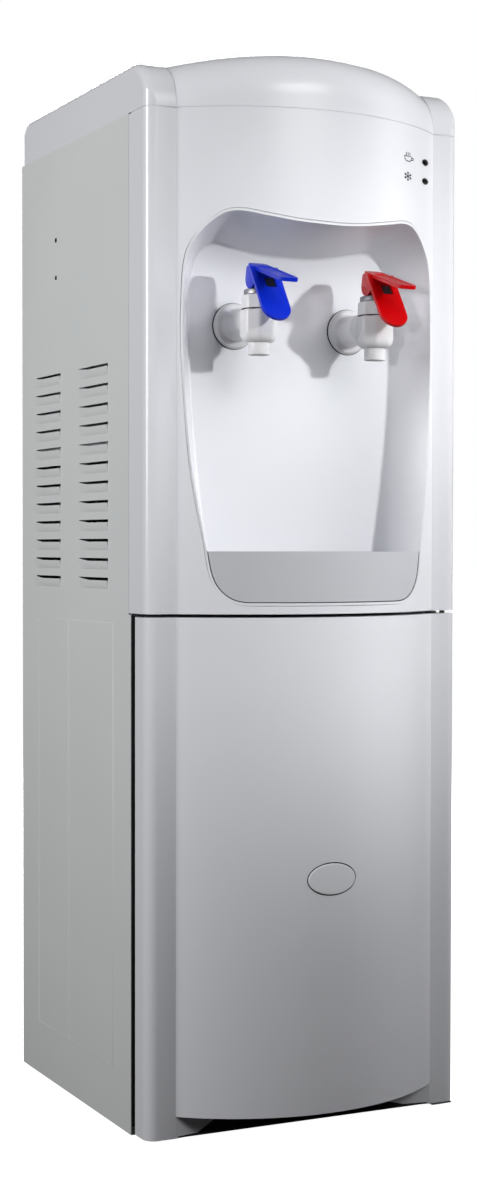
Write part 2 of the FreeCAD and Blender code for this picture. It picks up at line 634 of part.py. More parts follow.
node("filter_drier", fuse(rod("z", 9, 60, "line_side", "rear-28", 270),
                          cone("z", 3, 9, 10, "line_side", "rear-28", 260),
                          cone("z", 9, 3, 10, "line_side", "rear-28", 330)))


def ellipsoid(high, across, x, y, z):
    item = doc.addObject("Part::Ellipsoid", "dome")
    item.Radius1 = high
    item.Radius2 = across
    item.Radius3 = across
    return place(item, x, y, z)


comp_plate = cut(block(f"{comp_x}-66", f"{comp_x}+66", f"{comp_y}-45", f"{comp_y}+45", 14, 17),
                 *[rod("z", 4, 8, f"{comp_x}+({x})", f"{comp_y}+({y})", 12) for x in (-55, 55) for y in (-35, 35)])
node("compressor", fuse(ellipsoid(40, 56, comp_x, comp_y, 60), rod("z", 56, 50, comp_x, comp_y, 60),
                        ellipsoid(40, 56, comp_x, comp_y, 110), rod("z", 34, 20, comp_x, comp_y, 16),
                        comp_plate))
node("compressor_grommets", group(*[
    fuse(rod("z", 9, 9.5, f"{comp_x}+({x})", f"{comp_y}+({y})", "foot_height+1.5"),
         rod("z", 4, 16, f"{comp_x}+({x})", f"{comp_y}+({y})", "foot_height+1.5"))
    for x in (-55, 55) for y in (-35, 35)]))

coil_y = front + size("rear") + 14
reach = size("condenser_side")
passes = [90 + (deck - 150.5) * k / 7 for k in range(8)]
rise = passes[1] - passes[0]
coil = []
for k, z in enumerate(passes):
    coil.append(Part.makeCylinder(2.5, 2 * reach, Vec(-reach, coil_y, z), Vec(1, 0, 0)))
    if k < len(passes) - 1:
        end = reach if k % 2 == 0 else -reach
        bulge = end + math.copysign(rise / 2, end)
        bend = Part.Arc(Vec(end, coil_y, z), Vec(bulge, coil_y, z + rise / 2), Vec(end, coil_y, z + rise))
        mouth = Part.Circle(Vec(end, coil_y, z), Vec(1, 0, 0), 2.5).toShape()
        coil.append(Part.Wire([bend.toShape()]).makePipeShell([Part.Wire([mouth])], True, True))
wire_count = 14
spacing = (2 * reach - 20) / (wire_count - 1)
wires = [Part.makeCylinder(0.8, passes[-1] - 70, Vec(k * spacing + 10 - reach, coil_y + gap, 80))
         for k in range(wire_count) for gap in (-3.3, 3.3)]
clips = [slab(x - 3, x + 3, size("rear") - 1, size("rear") + 11.5, z - 6, z + 6)
         for x in (15 - reach, reach - 15) for z in (passes[0], passes[-1])]
node("condenser", solid(Part.makeCompound(coil + wires + clips)))

# rear fittings
housings = []
for x in ("heating_side", "cooling_side"):
    shell = fuse(block(f"{x}-11", f"{x}+11", "rear-1", "rear+1", "deck_level+79", "deck_level+110"),
                 block(f"{x}-9", f"{x}+9", "rear-20", "rear-1", "deck_level+81.5", "deck_level+107.5"))
    housings.append(cut(shell, block(f"{x}-7", f"{x}+7", "rear-12", "rear+2", "deck_level+83.2", "deck_level+105.8")))
node("switch_housings", group(*housings))


def rocker(label, x):
    body = body_at("rear-4", x, "deck_level+94.5")
    shape = [("-3", "-3"), ("3", "-9.8"), ("7.2", "-9.8"), ("5.4", "0"), ("7.2", "9.8"), ("3", "9.8"), ("-3", "3")]
    pad(body, "YZ_Plane", "0", shape, "13.4", True)
    body.Placement.Rotation = FreeCAD.Rotation(Vec(1, 0, 0), -7)
    return node(label, fuse(body, rod("x", 2, 13.9, f"{x}-6.95", "rear-4", "deck_level+94.5")))


rocker("heating_rocker", "heating_side")
rocker("cooling_rocker", "cooling_side")
node("cord_bush", cut(fuse(rod("y", 9, 7, "cord_side", "rear-1", "deck_level+40"),
                           rod("y", 6.5, 8, "cord_side", "rear-9", "deck_level+40")),
                      rod("y", 3.8, 30, "cord_side", "rear-15", "deck_level+40")))


# taps
def hexagon(across, y0, y1, x):
    radius = across / math.sqrt(3)
    points = [Vec(x + radius * math.cos(math.radians(60 * k)), front + y0,
                  size("tap_level") + radius * math.sin(math.radians(60 * k))) for k in range(7)]
    return Part.Face(Part.makePolygon(points)).extrude(Vec(0, y1 - y0, 0))


bodies = []
bonnets = []
collars = []
nuts = []
for side in (-1, 1):
    x = f"({side})*tap_side"
    y = "tap_front"
    outer = fuse(rod("y", 14, "tap_reach-5", x, y, "tap_level"),
                 rod("y", 20.5, 5, x, "alcove_depth-5", "tap_level"),
                 rod("y", 10, 14, x, "alcove_depth", "tap_level"),
                 rod("z", 16.5, 20.5, x, y, "tap_level-11.5"),
                 cone("z", 12.5, 16.5, 7, x, y, "tap_level-18.5"),
                 rod("z", 9.5, 11.7, x, y, "tap_level-30"))
    bodies.append(cut(outer, rod("y", 5, "tap_reach+30", x, y, "tap_level"),
                      rod("z", 11, 30, x, y, "tap_level-15.5"),
                      rod("z", 6.5, 20, x, y, "tap_level-32"),
                      rod("z", 15.8, 12, x, y, "tap_level+9")))
    bonnets.append(cut(fuse(cone("z", 15.6, 14.6, 10.5, x, y, "tap_level+9"),
                            cone("z", 14.6, 12.8, 3, x, y, "tap_level+19.5")),
                       rod("z", 11, 15, x, y, "tap_level+4"), rod("z", 3.08, 30, x, y, "tap_level+4")))
    collars.append(cut(rod("z", 12, 4.6, x, y, "tap_level+22.5"), rod("z", 3.08, 10, x, y, "tap_level+20")))
    back = size("alcove_depth") + size("alcove_wall")
    nut = hexagon(30, back, back + 8, side * size("tap_side"))
    nuts.append(solid(nut.cut(Part.makeCylinder(10.1, 30, Vec(side * size("tap_side"), front + 30, size("tap_level")),
                                                Vec(0, 1, 0)))))
node("tap_bodies", group(*bodies))
node("tap_bonnets", group(*bonnets))
node("tap_collars", group(*collars))
node("tap_nuts", group(*nuts))


def stem(prefix, x):
    head = block(f"{x}-4", f"{x}+4", "tap_front-4.5", "tap_front+4.5", "tap_level+29", "pin_level+5")
    post = fuse(rod("z", 3, 45, x, "tap_front", "tap_level-12.5"), head,
                rod("z", 8, 2, x, "tap_front", "tap_level-5.5"))
    node(f"{prefix}_stem", cut(post, rod("x", 2.01, 20, f"{x}-10", "tap_front", "pin_level")))
    node(f"{prefix}_valve_seal", rod("z", 8.5, 3, x, "tap_front", "tap_level-15.5"))
    base = Vec(value(x), front + size("tap_front"), size("tap_level") - 2.7)
    helix = Part.makeHelix(3.6, 20.9, 6)
    wire = Part.Wire([Part.Circle(Vec(6, 0, 0), Vec(0, 1, 0), 0.8).toShape()])
    spring = Part.Wire(helix.Edges).makePipeShell([wire], True, True)
    spring.translate(base)
    node(f"{prefix}_spring", solid(spring))
    node(f"{prefix}_lever_pin", rod("x", 2, 17.2, f"{x}-8.6", "tap_front", "pin_level"))


def lever(x):
    body = body_at("tap_front", x, "pin_level")
    plate = [("5", "10.9"), ("5.6", "13.2"), ("4", "13.6"), ("-30", "3.1"), ("-56", "-5"), ("-60", "-6.9"),
             ("-61", "-8.4"), ("-60", "-9.4"), ("-57", "-8.6"), ("-31", "-0.4"), ("0", "9.3")]
    paddle = [("-9.6", "9"), ("-40.6", "-38.4"), ("-41.6", "-40.6"), ("-40.6", "-41.6"), ("-38.6", "-40"), ("-5.4", "6.5")]
    hub = [("6", "10.6"), ("-12", "5.2"), ("-10.4", "0"), ("-8", "-4"), ("-4.6", "-7.2"), ("0", "-8.5"),
           ("4.6", "-7.2"), ("8", "-4"), ("9", "1.6"), ("8.4", "6")]
    pad(body, "YZ_Plane", "0", plate, "18", True)
    pad(body, "YZ_Plane", "0", paddle, "27", True)
    pad(body, "YZ_Plane", "0", hub, "17", True)
    slot = [("-9", "-12"), ("12", "-12"), ("12", "8.4"), ("3", "8.4"), ("-9", "5.4")]
    pocket(body, "YZ_Plane", "0", slot, "8.8", True)
    return body


for prefix, x in (("cold", "0-tap_side"), ("hot", "tap_side")):
    stem(prefix, x)
    body = lever(x)
    hole = rod("x", 2.06, 30, f"{x}-15", "tap_front", "pin_level")
    tilt = math.radians(-36.2)
    corner = Part.makeBox(40, 60, 13.5, Vec(-20, -30, 0)).cut(
        Part.makeCylinder(13.5, 60, Vec(0, -30, 13.5), Vec(0, 1, 0)))
    corner.rotate(Vec(0, 0, 0), Vec(1, 0, 0), math.degrees(tilt))
    corner.translate(Vec(value(x), front + size("tap_front") - 41.3, size("pin_level") - 41.5))
    node(f"{prefix}_lever", cut(body, hole, solid(corner)))

# drip tray
def tray_form(grow, inset, low, high, back):
    form = recess_plug(grow, 34).common(slab(-200, 200, -60, back, low, high))
    return form.common(bow_front(inset, low, high))


tray_top = deck + 9.5 + size("tray_height")
tray_back = size("alcove_depth") - size("alcove_corner") + 0.5
tray = tray_form(-0.9, 0.6, deck + 5, tray_top, tray_back)
tray = tray.cut(tray_form(-2.6, 3.4, deck + 17.5, tray_top + 5, tray_back - 2))
ledge = tray_form(-2.2, 3.2, tray_top - 12, tray_top - 8, tray_back - 1.8)
ledge = ledge.cut(tray_form(-8.5, 9, tray_top - 14, tray_top - 6, tray_back - 6.5))
tray = tray.fuse(ledge).removeSplitter()
node("drip_tray", solid(tray))

grille = tray_form(-3.1, 3.9, tray_top - 7.8, tray_top - 4.8, tray_back - 2.4)
slots = [Part.makeBox(6, 70, 10, Vec(x - 3, front - 46, tray_top - 12))
         for x in [k * 11 for k in range(-8, 9)]]
band = tray_form(-12, 12, tray_top - 12, tray_top, tray_back - 9.5)
grille = grille.cut(Part.makeCompound([s.common(band) for s in slots if s.common(band).Volume > 5]))
node("drip_grille", solid(grille))


# door
def door_form(inset):
    low = size("door_bottom") + inset
    form = plan(inset, size("door_return") + (20 if inset else 0), low, size("door_top") - inset)
    chord = size("half_chord")
    toe_radius = (chord ** 2 + size("toe_depth") ** 2) / (2 * size("toe_depth"))
    toe_centre = front + size("toe_depth") - toe_radius
    toe = Part.makeCylinder(toe_radius + inset, size("bow_bottom") + inset, Vec(0, toe_centre, 0))
    return form.cut(toe.common(slab(-half, half, -70, size("toe_depth") + 5, 0, size("bow_bottom") + inset)))


door = door_form(0).cut(door_form(wall))
badge_z = size("deck_level") / 2


def oval(long, short, front_inset, back_inset):
    ellipse = Part.Ellipse(Vec(0, front - 80, badge_z), long, short)
    ellipse.Axis = Vec(0, 1, 0)
    face = Part.Face(Part.Wire([ellipse.toShape()]))
    prism = face.extrude(Vec(0, 60, 0))
    skin_low, skin_high = badge_z - 60, badge_z + 60
    return prism.common(bow(front_inset, skin_low, skin_high)).cut(bow(back_inset, skin_low - 1, skin_high + 1))


door = door.cut(oval(25.1, 15.8, -1, 1.3))
for z in (size("door_bottom") - 3, size("door_top") - 5):
    door = door.cut(Part.makeCylinder(2.58, 8, Vec(size("hinge_side"), front + size("hinge_setback"), z)))
node("door_panel", solid(door))
node("door_badge", solid(oval(24.5, 15.2, -0.6, 1.25)))
inner_door = cut(block("2.7-half_width", "half_width-2.7", 21, 24, "door_bottom+2.7", "door_top-2.7"),
                 block("24-half_width", "half_width-24", 22.5, 26, "door_bottom+24", "door_top-24"))
node("door_liner", inner_door)
node("door_magnet", block("9-half_width", "25-half_width", 24, 26, "deck_level/2", "deck_level/2+30"))
node("door_strike", block("9-half_width", "25-half_width", 27, 36, "deck_level/2", "deck_level/2+30"))
node("hinge_pins", group(rod("z", 2.5, "door_bottom+6-foot_height", "hinge_side", "hinge_setback", "foot_height"),
                         rod("z", 2.5, 12, "hinge_side", "hinge_setback", "deck_level-9.5")))

doc.recompute()
for item in doc.Objects:
    if "Invalid" in item.State or "Error" in item.State:
        print("STATE", item.Name, item.Label, item.State)
    if hasattr(item, "Shape") and item in nodes:
        if item.Shape.isNull() or not item.Shape.isValid():
            print("SHAPE", item.Label)
for item in nodes:
    item.Shape.exportStep(f"parts/{item.Label}.step")
print(len(nodes), "parts written")
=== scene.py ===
import json
import math
import bmesh
import bpy
from mathutils import Matrix, Vector


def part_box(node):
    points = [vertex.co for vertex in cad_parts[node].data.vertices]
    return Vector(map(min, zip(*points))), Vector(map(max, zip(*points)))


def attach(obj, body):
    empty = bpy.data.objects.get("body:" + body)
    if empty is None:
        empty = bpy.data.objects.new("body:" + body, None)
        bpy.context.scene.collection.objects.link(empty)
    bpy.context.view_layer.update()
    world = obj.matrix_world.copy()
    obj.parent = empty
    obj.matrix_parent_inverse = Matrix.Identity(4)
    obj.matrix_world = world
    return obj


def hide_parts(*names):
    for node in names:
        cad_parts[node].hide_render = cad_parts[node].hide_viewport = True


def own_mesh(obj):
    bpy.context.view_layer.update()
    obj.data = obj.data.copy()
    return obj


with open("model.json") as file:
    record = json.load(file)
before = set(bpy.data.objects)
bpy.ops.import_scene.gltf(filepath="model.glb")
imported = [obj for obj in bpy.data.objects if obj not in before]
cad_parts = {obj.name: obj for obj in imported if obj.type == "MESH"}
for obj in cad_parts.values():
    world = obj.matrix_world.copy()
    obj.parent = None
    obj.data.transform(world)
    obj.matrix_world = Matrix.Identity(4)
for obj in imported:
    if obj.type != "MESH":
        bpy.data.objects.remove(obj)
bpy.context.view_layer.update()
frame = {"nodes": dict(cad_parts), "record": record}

nodes = frame["nodes"]
print("frame loaded with", len(nodes), "nodes")


def linearColour(hexText):
    channels = [int(hexText[i:i + 2], 16) / 255 for i in (1, 3, 5)]
    return [c / 12.92 if c <= 0.04045 else ((c + 0.055) / 1.055) ** 2.4 for c in channels] + [1.0]


def addNode(tree, kind, settings=None, links=None):
    node = tree.nodes.new(kind)
    for name, value in (settings or {}).items():
        if isinstance(name, str) and hasattr(node, name):
            setattr(node, name, value)
        else:
            node.inputs[name].default_value = value
    for name, source in (links or {}).items():
        tree.links.new(source, node.inputs[name])
    return node


def startMaterial(name, colour, roughness, metallic=0.0, ior=1.5):
    material = bpy.data.materials.new(name)
    material.use_nodes = True
    tree = material.node_tree
    tree.nodes.clear()
    shader = addNode(tree, "ShaderNodeBsdfPrincipled", {"Base Color": linearColour(colour), "Roughness": roughness,
                                                        "Metallic": metallic, "IOR": ior})
    addNode(tree, "ShaderNodeOutputMaterial", links={"Surface": shader.outputs[0]})
    coords = addNode(tree, "ShaderNodeTexCoord")
    return material, tree, shader, coords.outputs["Object"]


def perMetre(millimetres):
    return 1000.0 / millimetres


# plain noise whose features are about size millimetres across
def speckle(tree, coords, size, detail=3.0, stretch=None):
    place = coords
    if stretch:
        place = addNode(tree, "ShaderNodeMapping", {"Scale": stretch}, {"Vector": coords}).outputs[0]
    noise = addNode(tree, "ShaderNodeTexNoise", {"Scale": perMetre(size), "Detail": detail}, {"Vector": place})
    return noise.outputs[0]


# the same noise, spread between two values
def wander(tree, coords, size, low, high, detail=3.0, stretch=None):
    noise = speckle(tree, coords, size, detail, stretch)
    spread = addNode(tree, "ShaderNodeMapRange", {"From Min": 0.3, "From Max": 0.7, "To Min": low, "To Max": high},
                     {"Value": noise})
    return spread.outputs[0]


def blendColours(tree, factor, first, second):
    mix = addNode(tree, "ShaderNodeMix", {"data_type": "RGBA", 6: linearColour(first), 7: linearColour(second)})
    tree.links.new(factor, mix.inputs[0])
    return mix.outputs[2]


def plainBump(tree, shader, height, distance):
    bump = addNode(tree, "ShaderNodeBump", {"Distance": distance, "Strength": 1.0}, {"Height": height})
    tree.links.new(bump.outputs[0], shader.inputs["Normal"])


# colour drifts over 90 mm and gloss over 120 mm; grain is the size of the skin texture and depth its height
def mouldedPlastic(name, light, dark, low, high, grain, depth, ior=1.53):
    material, tree, shader, coords = startMaterial(name, light, (low + high) / 2, ior=ior)
    drift = wander(tree, coords, 90, 0.0, 1.0, 2.0)
    tree.links.new(blendColours(tree, drift, light, dark), shader.inputs["Base Color"])
    tree.links.new(wander(tree, coords, 120, low, high, 1.0), shader.inputs["Roughness"])
    plainBump(tree, shader, speckle(tree, coords, grain, 1.0), depth)
    return material


materials = {}

# ABS, injection moulded in a polished tool: soft sheen, a faint orange peel every few millimetres
materials["white_abs"] = mouldedPlastic("glossAbsWhite", "#E6E7EC", "#E5E6EB", 0.25, 0.265, 6.0, 0.000016)
# ABS from a lightly etched tool: flatter and a shade greyer
materials["liner_abs"] = mouldedPlastic("etchedAbsPale", "#D6D8DA", "#CED0D3", 0.42, 0.55, 1.2, 0.00005)
# grey ABS of the drip tray, etched, slightly cool
materials["tray_abs"] = mouldedPlastic("etchedAbsGrey", "#C6C7CC", "#C3C4C9", 0.38, 0.42, 1.2, 0.00005)
# acetal and ABS tap mouldings: smooth, warmer and a little translucent looking
materials["tap_abs"] = mouldedPlastic("smoothAbsTap", "#E2E2E4", "#E0E0E2", 0.27, 0.30, 5.0, 0.000012)
# deep blue and red ABS of the levers, glossy, with faint sink ripples
materials["blue_abs"] = mouldedPlastic("glossAbsBlue", "#0A2BC6", "#0928BC", 0.26, 0.32, 3.0, 0.00003)
materials["red_abs"] = mouldedPlastic("glossAbsRed", "#BE0207", "#B40106", 0.26, 0.32, 3.0, 0.00003)
# ABS of the badge: the same white, with finer ripples
materials["badge"] = mouldedPlastic("glossAbsBadge", "#E6E7EB", "#E5E6EA", 0.25, 0.265, 3.0, 0.00003)
# black ABS and glossy nylon of the fittings and the rockers
materials["black_plastic"] = mouldedPlastic("etchedAbsBlack", "#1A1A1C", "#222225", 0.40, 0.55, 1.0, 0.00004)
materials["red_rocker"] = mouldedPlastic("glossNylonRed", "#A81414", "#981010", 0.25, 0.35, 2.0, 0.00003)
materials["green_rocker"] = mouldedPlastic("glossNylonGreen", "#0F7A30", "#0C6C2A", 0.25, 0.35, 2.0, 0.00003)
# smoked acrylic over a dark lamp: near black and smooth
materials["lamp_lens"] = mouldedPlastic("smokedAcrylic", "#060506", "#0A0708", 0.26, 0.32, 3.0, 0.00002, 1.49)
# silicone tube and rubber: matt, dusty bloom
materials["silicone"] = mouldedPlastic("extrudedSilicone", "#D9D8D2", "#CFCEC6", 0.40, 0.55, 2.0, 0.00003, 1.41)
materials["rubber"] = mouldedPlastic("mouldedRubber", "#151515", "#26262A", 0.65, 0.85, 0.8, 0.00006, 1.52)
# solder mask over fibreglass
materials["board"] = mouldedPlastic("maskedFibreglass", "#12502A", "#0E4423", 0.30, 0.45, 1.5, 0.00003)
# sintered ferrite: dark, dry and grainy
materials["magnet"] = mouldedPlastic("sinteredFerrite", "#3A3A3C", "#2E2E30", 0.45, 0.65, 0.7, 0.00005)


def sheetMetal(name, colour, shade, low, high, cell, metallic, depth):
    material, tree, shader, coords = startMaterial(name, colour, (low + high) / 2, metallic)
    cells = addNode(tree, "ShaderNodeTexVoronoi", {"Scale": perMetre(cell)}, {"Vector": coords})
    tone = addNode(tree, "ShaderNodeSeparateColor", links={0: cells.outputs["Color"]})
    tree.links.new(blendColours(tree, tone.outputs[0], colour, shade), shader.inputs["Base Color"])
    rough = addNode(tree, "ShaderNodeMapRange", {"To Min": low, "To Max": high}, {"Value": tone.outputs[1]})
    tree.links.new(rough.outputs[0], shader.inputs["Roughness"])
    plainBump(tree, shader, wander(tree, coords, 2.0, 0.0, 1.0), depth)
    return material


# hot-dip galvanised sheet steel: 9 mm spangle, grey and dull
materials["galvanised"] = sheetMetal("galvanisedSteel", "#C3C5C7", "#AEB1B4", 0.36, 0.5, 9.0, 0.9, 0.00002)


def brushedMetal(name, colour, shade, low, high, stretch):
    material, tree, shader, coords = startMaterial(name, colour, (low + high) / 2, 1.0)
    lines = wander(tree, coords, 1.2, 0.0, 1.0, 4.0, stretch)
    tree.links.new(blendColours(tree, lines, colour, shade), shader.inputs["Base Color"])
    tree.links.new(wander(tree, coords, 20, low, high), shader.inputs["Roughness"])
    plainBump(tree, shader, lines, 0.00001)
    return material


# drawn stainless steel with fine lines round it, drawn copper tube and satin chrome on brass
materials["stainless"] = brushedMetal("brushedStainless", "#B9BABC", "#A6A8AB", 0.22, 0.34, (1, 1, 14))
materials["copper"] = brushedMetal("drawnCopper", "#B8714A", "#9C5A3A", 0.28, 0.45, (4, 4, 1))
materials["chrome"] = brushedMetal("chromedBrass", "#9C9CA0", "#8C8C91", 0.4, 0.5, (1, 1, 2))

# stoved enamel on the compressor and condenser: black, half gloss, a little dust
materials["black_enamel"] = mouldedPlastic("stovedEnamelBlack", "#141416", "#232327", 0.30, 0.48, 2.5, 0.00005)


# expanded polystyrene: beads about 3 mm across
def beadedFoam():
    material, tree, shader, coords = startMaterial("expandedPolystyrene", "#F0F0EC", 0.75)
    beads = addNode(tree, "ShaderNodeTexVoronoi", {"Scale": perMetre(3.2), "feature": "DISTANCE_TO_EDGE"},
                    {"Vector": coords})
    edge = addNode(tree, "ShaderNodeMapRange", {"From Max": 0.12}, {"Value": beads.outputs["Distance"]})
    tree.links.new(blendColours(tree, edge.outputs[0], "#D8D8D2", "#F2F2EF"), shader.inputs["Base Color"])
    plainBump(tree, shader, edge.outputs[0], 0.0002)
    return material


materials["foam"] = beadedFoam()


# powder coat over sheet steel: satin grey with a tight orange peel near a millimetre and a half
def powderCoat(name, light, dark):
    material, tree, shader, coords = startMaterial(name, light, 0.42)
    drift = wander(tree, coords, 160, 0.0, 1.0, 2.0)
    tree.links.new(blendColours(tree, drift, light, dark), shader.inputs["Base Color"])
    tree.links.new(wander(tree, coords, 120, 0.38, 0.44, 1.0), shader.inputs["Roughness"])
    plainBump(tree, shader, speckle(tree, coords, 1.6, 2.0), 0.00004)
    return material


materials["panel_paint"] = powderCoat("powderCoatGrey", "#DBDDDD", "#D9DCDC")

for part in frame["record"]["subparts"]:
    solid = nodes[part["node"]]
    solid.data.materials.clear()
    solid.data.materials.append(materials[part["material_slot"]])
print("materials assigned")

mm = 0.001


def millimetres(*numbers):
    return Vector(numbers) * mm


# ---- mesh helpers
def show(name, mesh):
    piece = bpy.data.objects.new(name, mesh)
    bpy.context.scene.collection.objects.link(piece)
    return piece


def baked(worker, helpers=()):
    mesh = bpy.data.meshes.new_from_object(worker.evaluated_get(bpy.context.evaluated_depsgraph_get()))
    for item in [worker, *helpers]:
        bpy.data.objects.remove(item)
    return mesh


def closedMesh(points, faces):
    body = bmesh.new()
    corners = [body.verts.new(p) for p in points]
    for face in faces:
        body.faces.new([corners[i] for i in face])
    bmesh.ops.recalc_face_normals(body, faces=body.faces)
    mesh = bpy.data.meshes.new("form")
    body.to_mesh(mesh)
    body.free()
    return mesh


# rings of points stacked along an axis; share is how far each ring goes from round to faceted, and blunt cuts the
# corners between the facets
def ringStack(rows, centre, axis="z", facets=8, steps=96, blunt=1.055):
    points = []
    wedge = math.pi / facets
    for station, radius, share in rows:
        for k in range(steps):
            angle = 2 * math.pi * k / steps
            local = (angle + wedge) % (2 * wedge) - wedge
            faceted = min(radius / blunt / math.cos(local), radius)
            reach = radius + share * (faceted - radius)
            across, up = reach * math.cos(angle), reach * math.sin(angle)
            spot = Vector((across, up, station)) if axis == "z" else Vector((across, station, up))
            points.append(centre + spot * mm)
    faces = [[r * steps + k, r * steps + (k + 1) % steps, (r + 1) * steps + (k + 1) % steps, (r + 1) * steps + k]
             for r in range(len(rows) - 1) for k in range(steps)]
    faces += [list(range(steps)), [(len(rows) - 1) * steps + k for k in range(steps)]]
    return closedMesh(points, faces)


# a flat outline given in two directions, thickened along the third
def slabMesh(outline, origin, first, second, through, low, high):
    count = len(outline)
    points = [origin + (first * a + second * b + through * depth) * mm for depth in (low, high) for a, b in outline]
    faces = [list(range(count)), list(range(count, 2 * count))]
    faces += [[k, (k + 1) % count, count + (k + 1) % count, count + k] for k in range(count)]
    return closedMesh(points, faces)


def combine(base, tools, operation="UNION"):
    worker = show("work", base)
    helpers = []
    for mesh in tools:
        tool = show("tool", mesh)
        step = worker.modifiers.new("join", "BOOLEAN")
        step.object = tool
        step.operation = operation
        step.solver = "EXACT"
        helpers.append(tool)
    return baked(worker, helpers)


def eased(mesh, width, segments=2, angle=32):
    worker = show("work", mesh)
    step = worker.modifiers.new("ease", "BEVEL")
    step.width = width * mm
    step.segments = segments
    step.limit_method = "ANGLE"
    step.angle_limit = math.radians(angle)
    return baked(worker)


def finishPiece(name, mesh, finish, body, stands=(), sharp=34):
    mesh.polygons.foreach_set("use_smooth", [True] * len(mesh.polygons))
    mesh.set_sharp_from_angle(angle=math.radians(sharp))
    mesh.materials.clear()
    mesh.materials.append(finish)
    piece = show(name, mesh)
    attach(piece, body)
    if stands:
        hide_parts(*stands)
    return piece


def joinMeshes(meshes):
    body = bmesh.new()
    for mesh in meshes:
        body.from_mesh(mesh)
    mesh = bpy.data.meshes.new("joined")
    body.to_mesh(mesh)
    body.free()
    return mesh


def arcPoints(radius, start, stop, steps, centre=(0, 0)):
    angles = [math.radians(start + (stop - start) * k / steps) for k in range(steps + 1)]
    return [(centre[0] + radius * math.cos(a), centre[1] + radius * math.sin(a)) for a in angles]


def roundedBox(width, height, radius, centre=(0, 0), steps=6):
    outline = []
    for quarter, (sx, sz) in enumerate(((1, 1), (-1, 1), (-1, -1), (1, -1))):
        middle = (centre[0] + sx * (width / 2 - radius), centre[1] + sz * (height / 2 - radius))
        outline += arcPoints(radius, 90 * quarter, 90 * quarter + 90, steps, middle)
    return outline


# ---- repeats: a base shape on a grid of points
def gridTree():
    tree = bpy.data.node_groups.new("gridOfCopies", "GeometryNodeTree")
    tree.interface.new_socket("Geometry", in_out="INPUT", socket_type="NodeSocketGeometry")
    for label, kind in (("Rows", "Int"), ("Row step", "Vector"), ("Columns", "Int"),
                        ("Column step", "Vector"), ("Finish", "Material")):
        tree.interface.new_socket(label, in_out="INPUT", socket_type="NodeSocket" + kind)
    tree.interface.new_socket("Geometry", in_out="OUTPUT", socket_type="NodeSocketGeometry")
    given = addNode(tree, "NodeGroupInput").outputs
    rows = addNode(tree, "GeometryNodeMeshLine", {"mode": "OFFSET"},
                   {"Count": given["Rows"], "Offset": given["Row step"]})
    columns = addNode(tree, "GeometryNodeMeshLine", {"mode": "OFFSET"},
                      {"Count": given["Columns"], "Offset": given["Column step"]})
    grid = addNode(tree, "GeometryNodeInstanceOnPoints",
                   links={"Points": columns.outputs[0], "Instance": rows.outputs[0]})
    spots = addNode(tree, "GeometryNodeRealizeInstances", links={"Geometry": grid.outputs[0]})
    copies = addNode(tree, "GeometryNodeInstanceOnPoints",
                     links={"Points": spots.outputs[0], "Instance": given["Geometry"]})
    real = addNode(tree, "GeometryNodeRealizeInstances", links={"Geometry": copies.outputs[0]})
    paint = addNode(tree, "GeometryNodeSetMaterial",
                    links={"Geometry": real.outputs[0], "Material": given["Finish"]})
    addNode(tree, "NodeGroupOutput", links={"Geometry": paint.outputs[0]})
    return tree


copier = gridTree()


def repeated(mesh, finish, rows, rowStep, columns, columnStep):
    worker = show("work", mesh)
    step = worker.modifiers.new("repeat", "NODES")
    step.node_group = copier
    keys = {item.name: item.identifier for item in copier.interface.items_tree if item.in_out == "INPUT"}
    for label, value in (("Rows", rows), ("Row step", rowStep), ("Columns", columns),
                         ("Column step", columnStep), ("Finish", finish)):
        step[keys[label]] = value
    return baked(worker)


# ---- places read from the frame
boxes = {name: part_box(name) for name in nodes}
low, high = boxes["left_side_panel"]
cabinetSide = -low[0]
backPlane = high[1]
floorGap = low[2]
pins = {side: Vector(boxes[side + "_lever_pin"][0]) / 2 + Vector(boxes[side + "_lever_pin"][1]) / 2
        for side in ("cold", "hot")}
pillarDepth = 36 * mm
pillarPlane = low[1] - pillarDepth
pillarWidth = 27.4 * mm
bowFront = boxes["front_fascia"][0][1]
sideways, rearward, upward = Vector((1, 0, 0)), Vector((0, 1, 0)), Vector((0, 0, 1))
print("places read")

# ---- levers: a thumb plate with a dished top, a round-ended paddle with a black insert as painted shade in its pocket, and a forked hub
leverShape = {"plateStart": (0, 5.8, 14.2), "plateSlope": 17.3, "plateLength": 69, "plateWidth": 18, "plateThick": 3.3,
              "tipRadius": 4.5, "dishEnds": 18, "dishSides": 4.4, "dishShift": 5.5, "dishDepth": 0.8, "dishRadius": 3,
              "paddleStart": (0, -9.6, 9.2), "paddleLean": 33.2, "paddleLength": 57.5, "paddleWidth": 27,
              "paddleThick": 3.0, "hubRadius": 9, "hubWidth": 18, "forkWidth": 8.8, "pocket": (10.5, 11.5, 2.4),
              "pocketPlace": (16.5, 2.0), "pocketRadius": 1.2, "shadeGap": 0.6, "shadeThick": 0.6, "shadeSunk": 0.1,
              "shadeRadius": 1.0, "ease": 0.7}
hubFront, hubRear = [(-11, 5)], [(7.5, 8), (6, 11.5), (-4, 9)]
forkOutline = [(-9, -14), (12, -14), (12, 8), (2.5, 7.6), (-9, 4.6)]


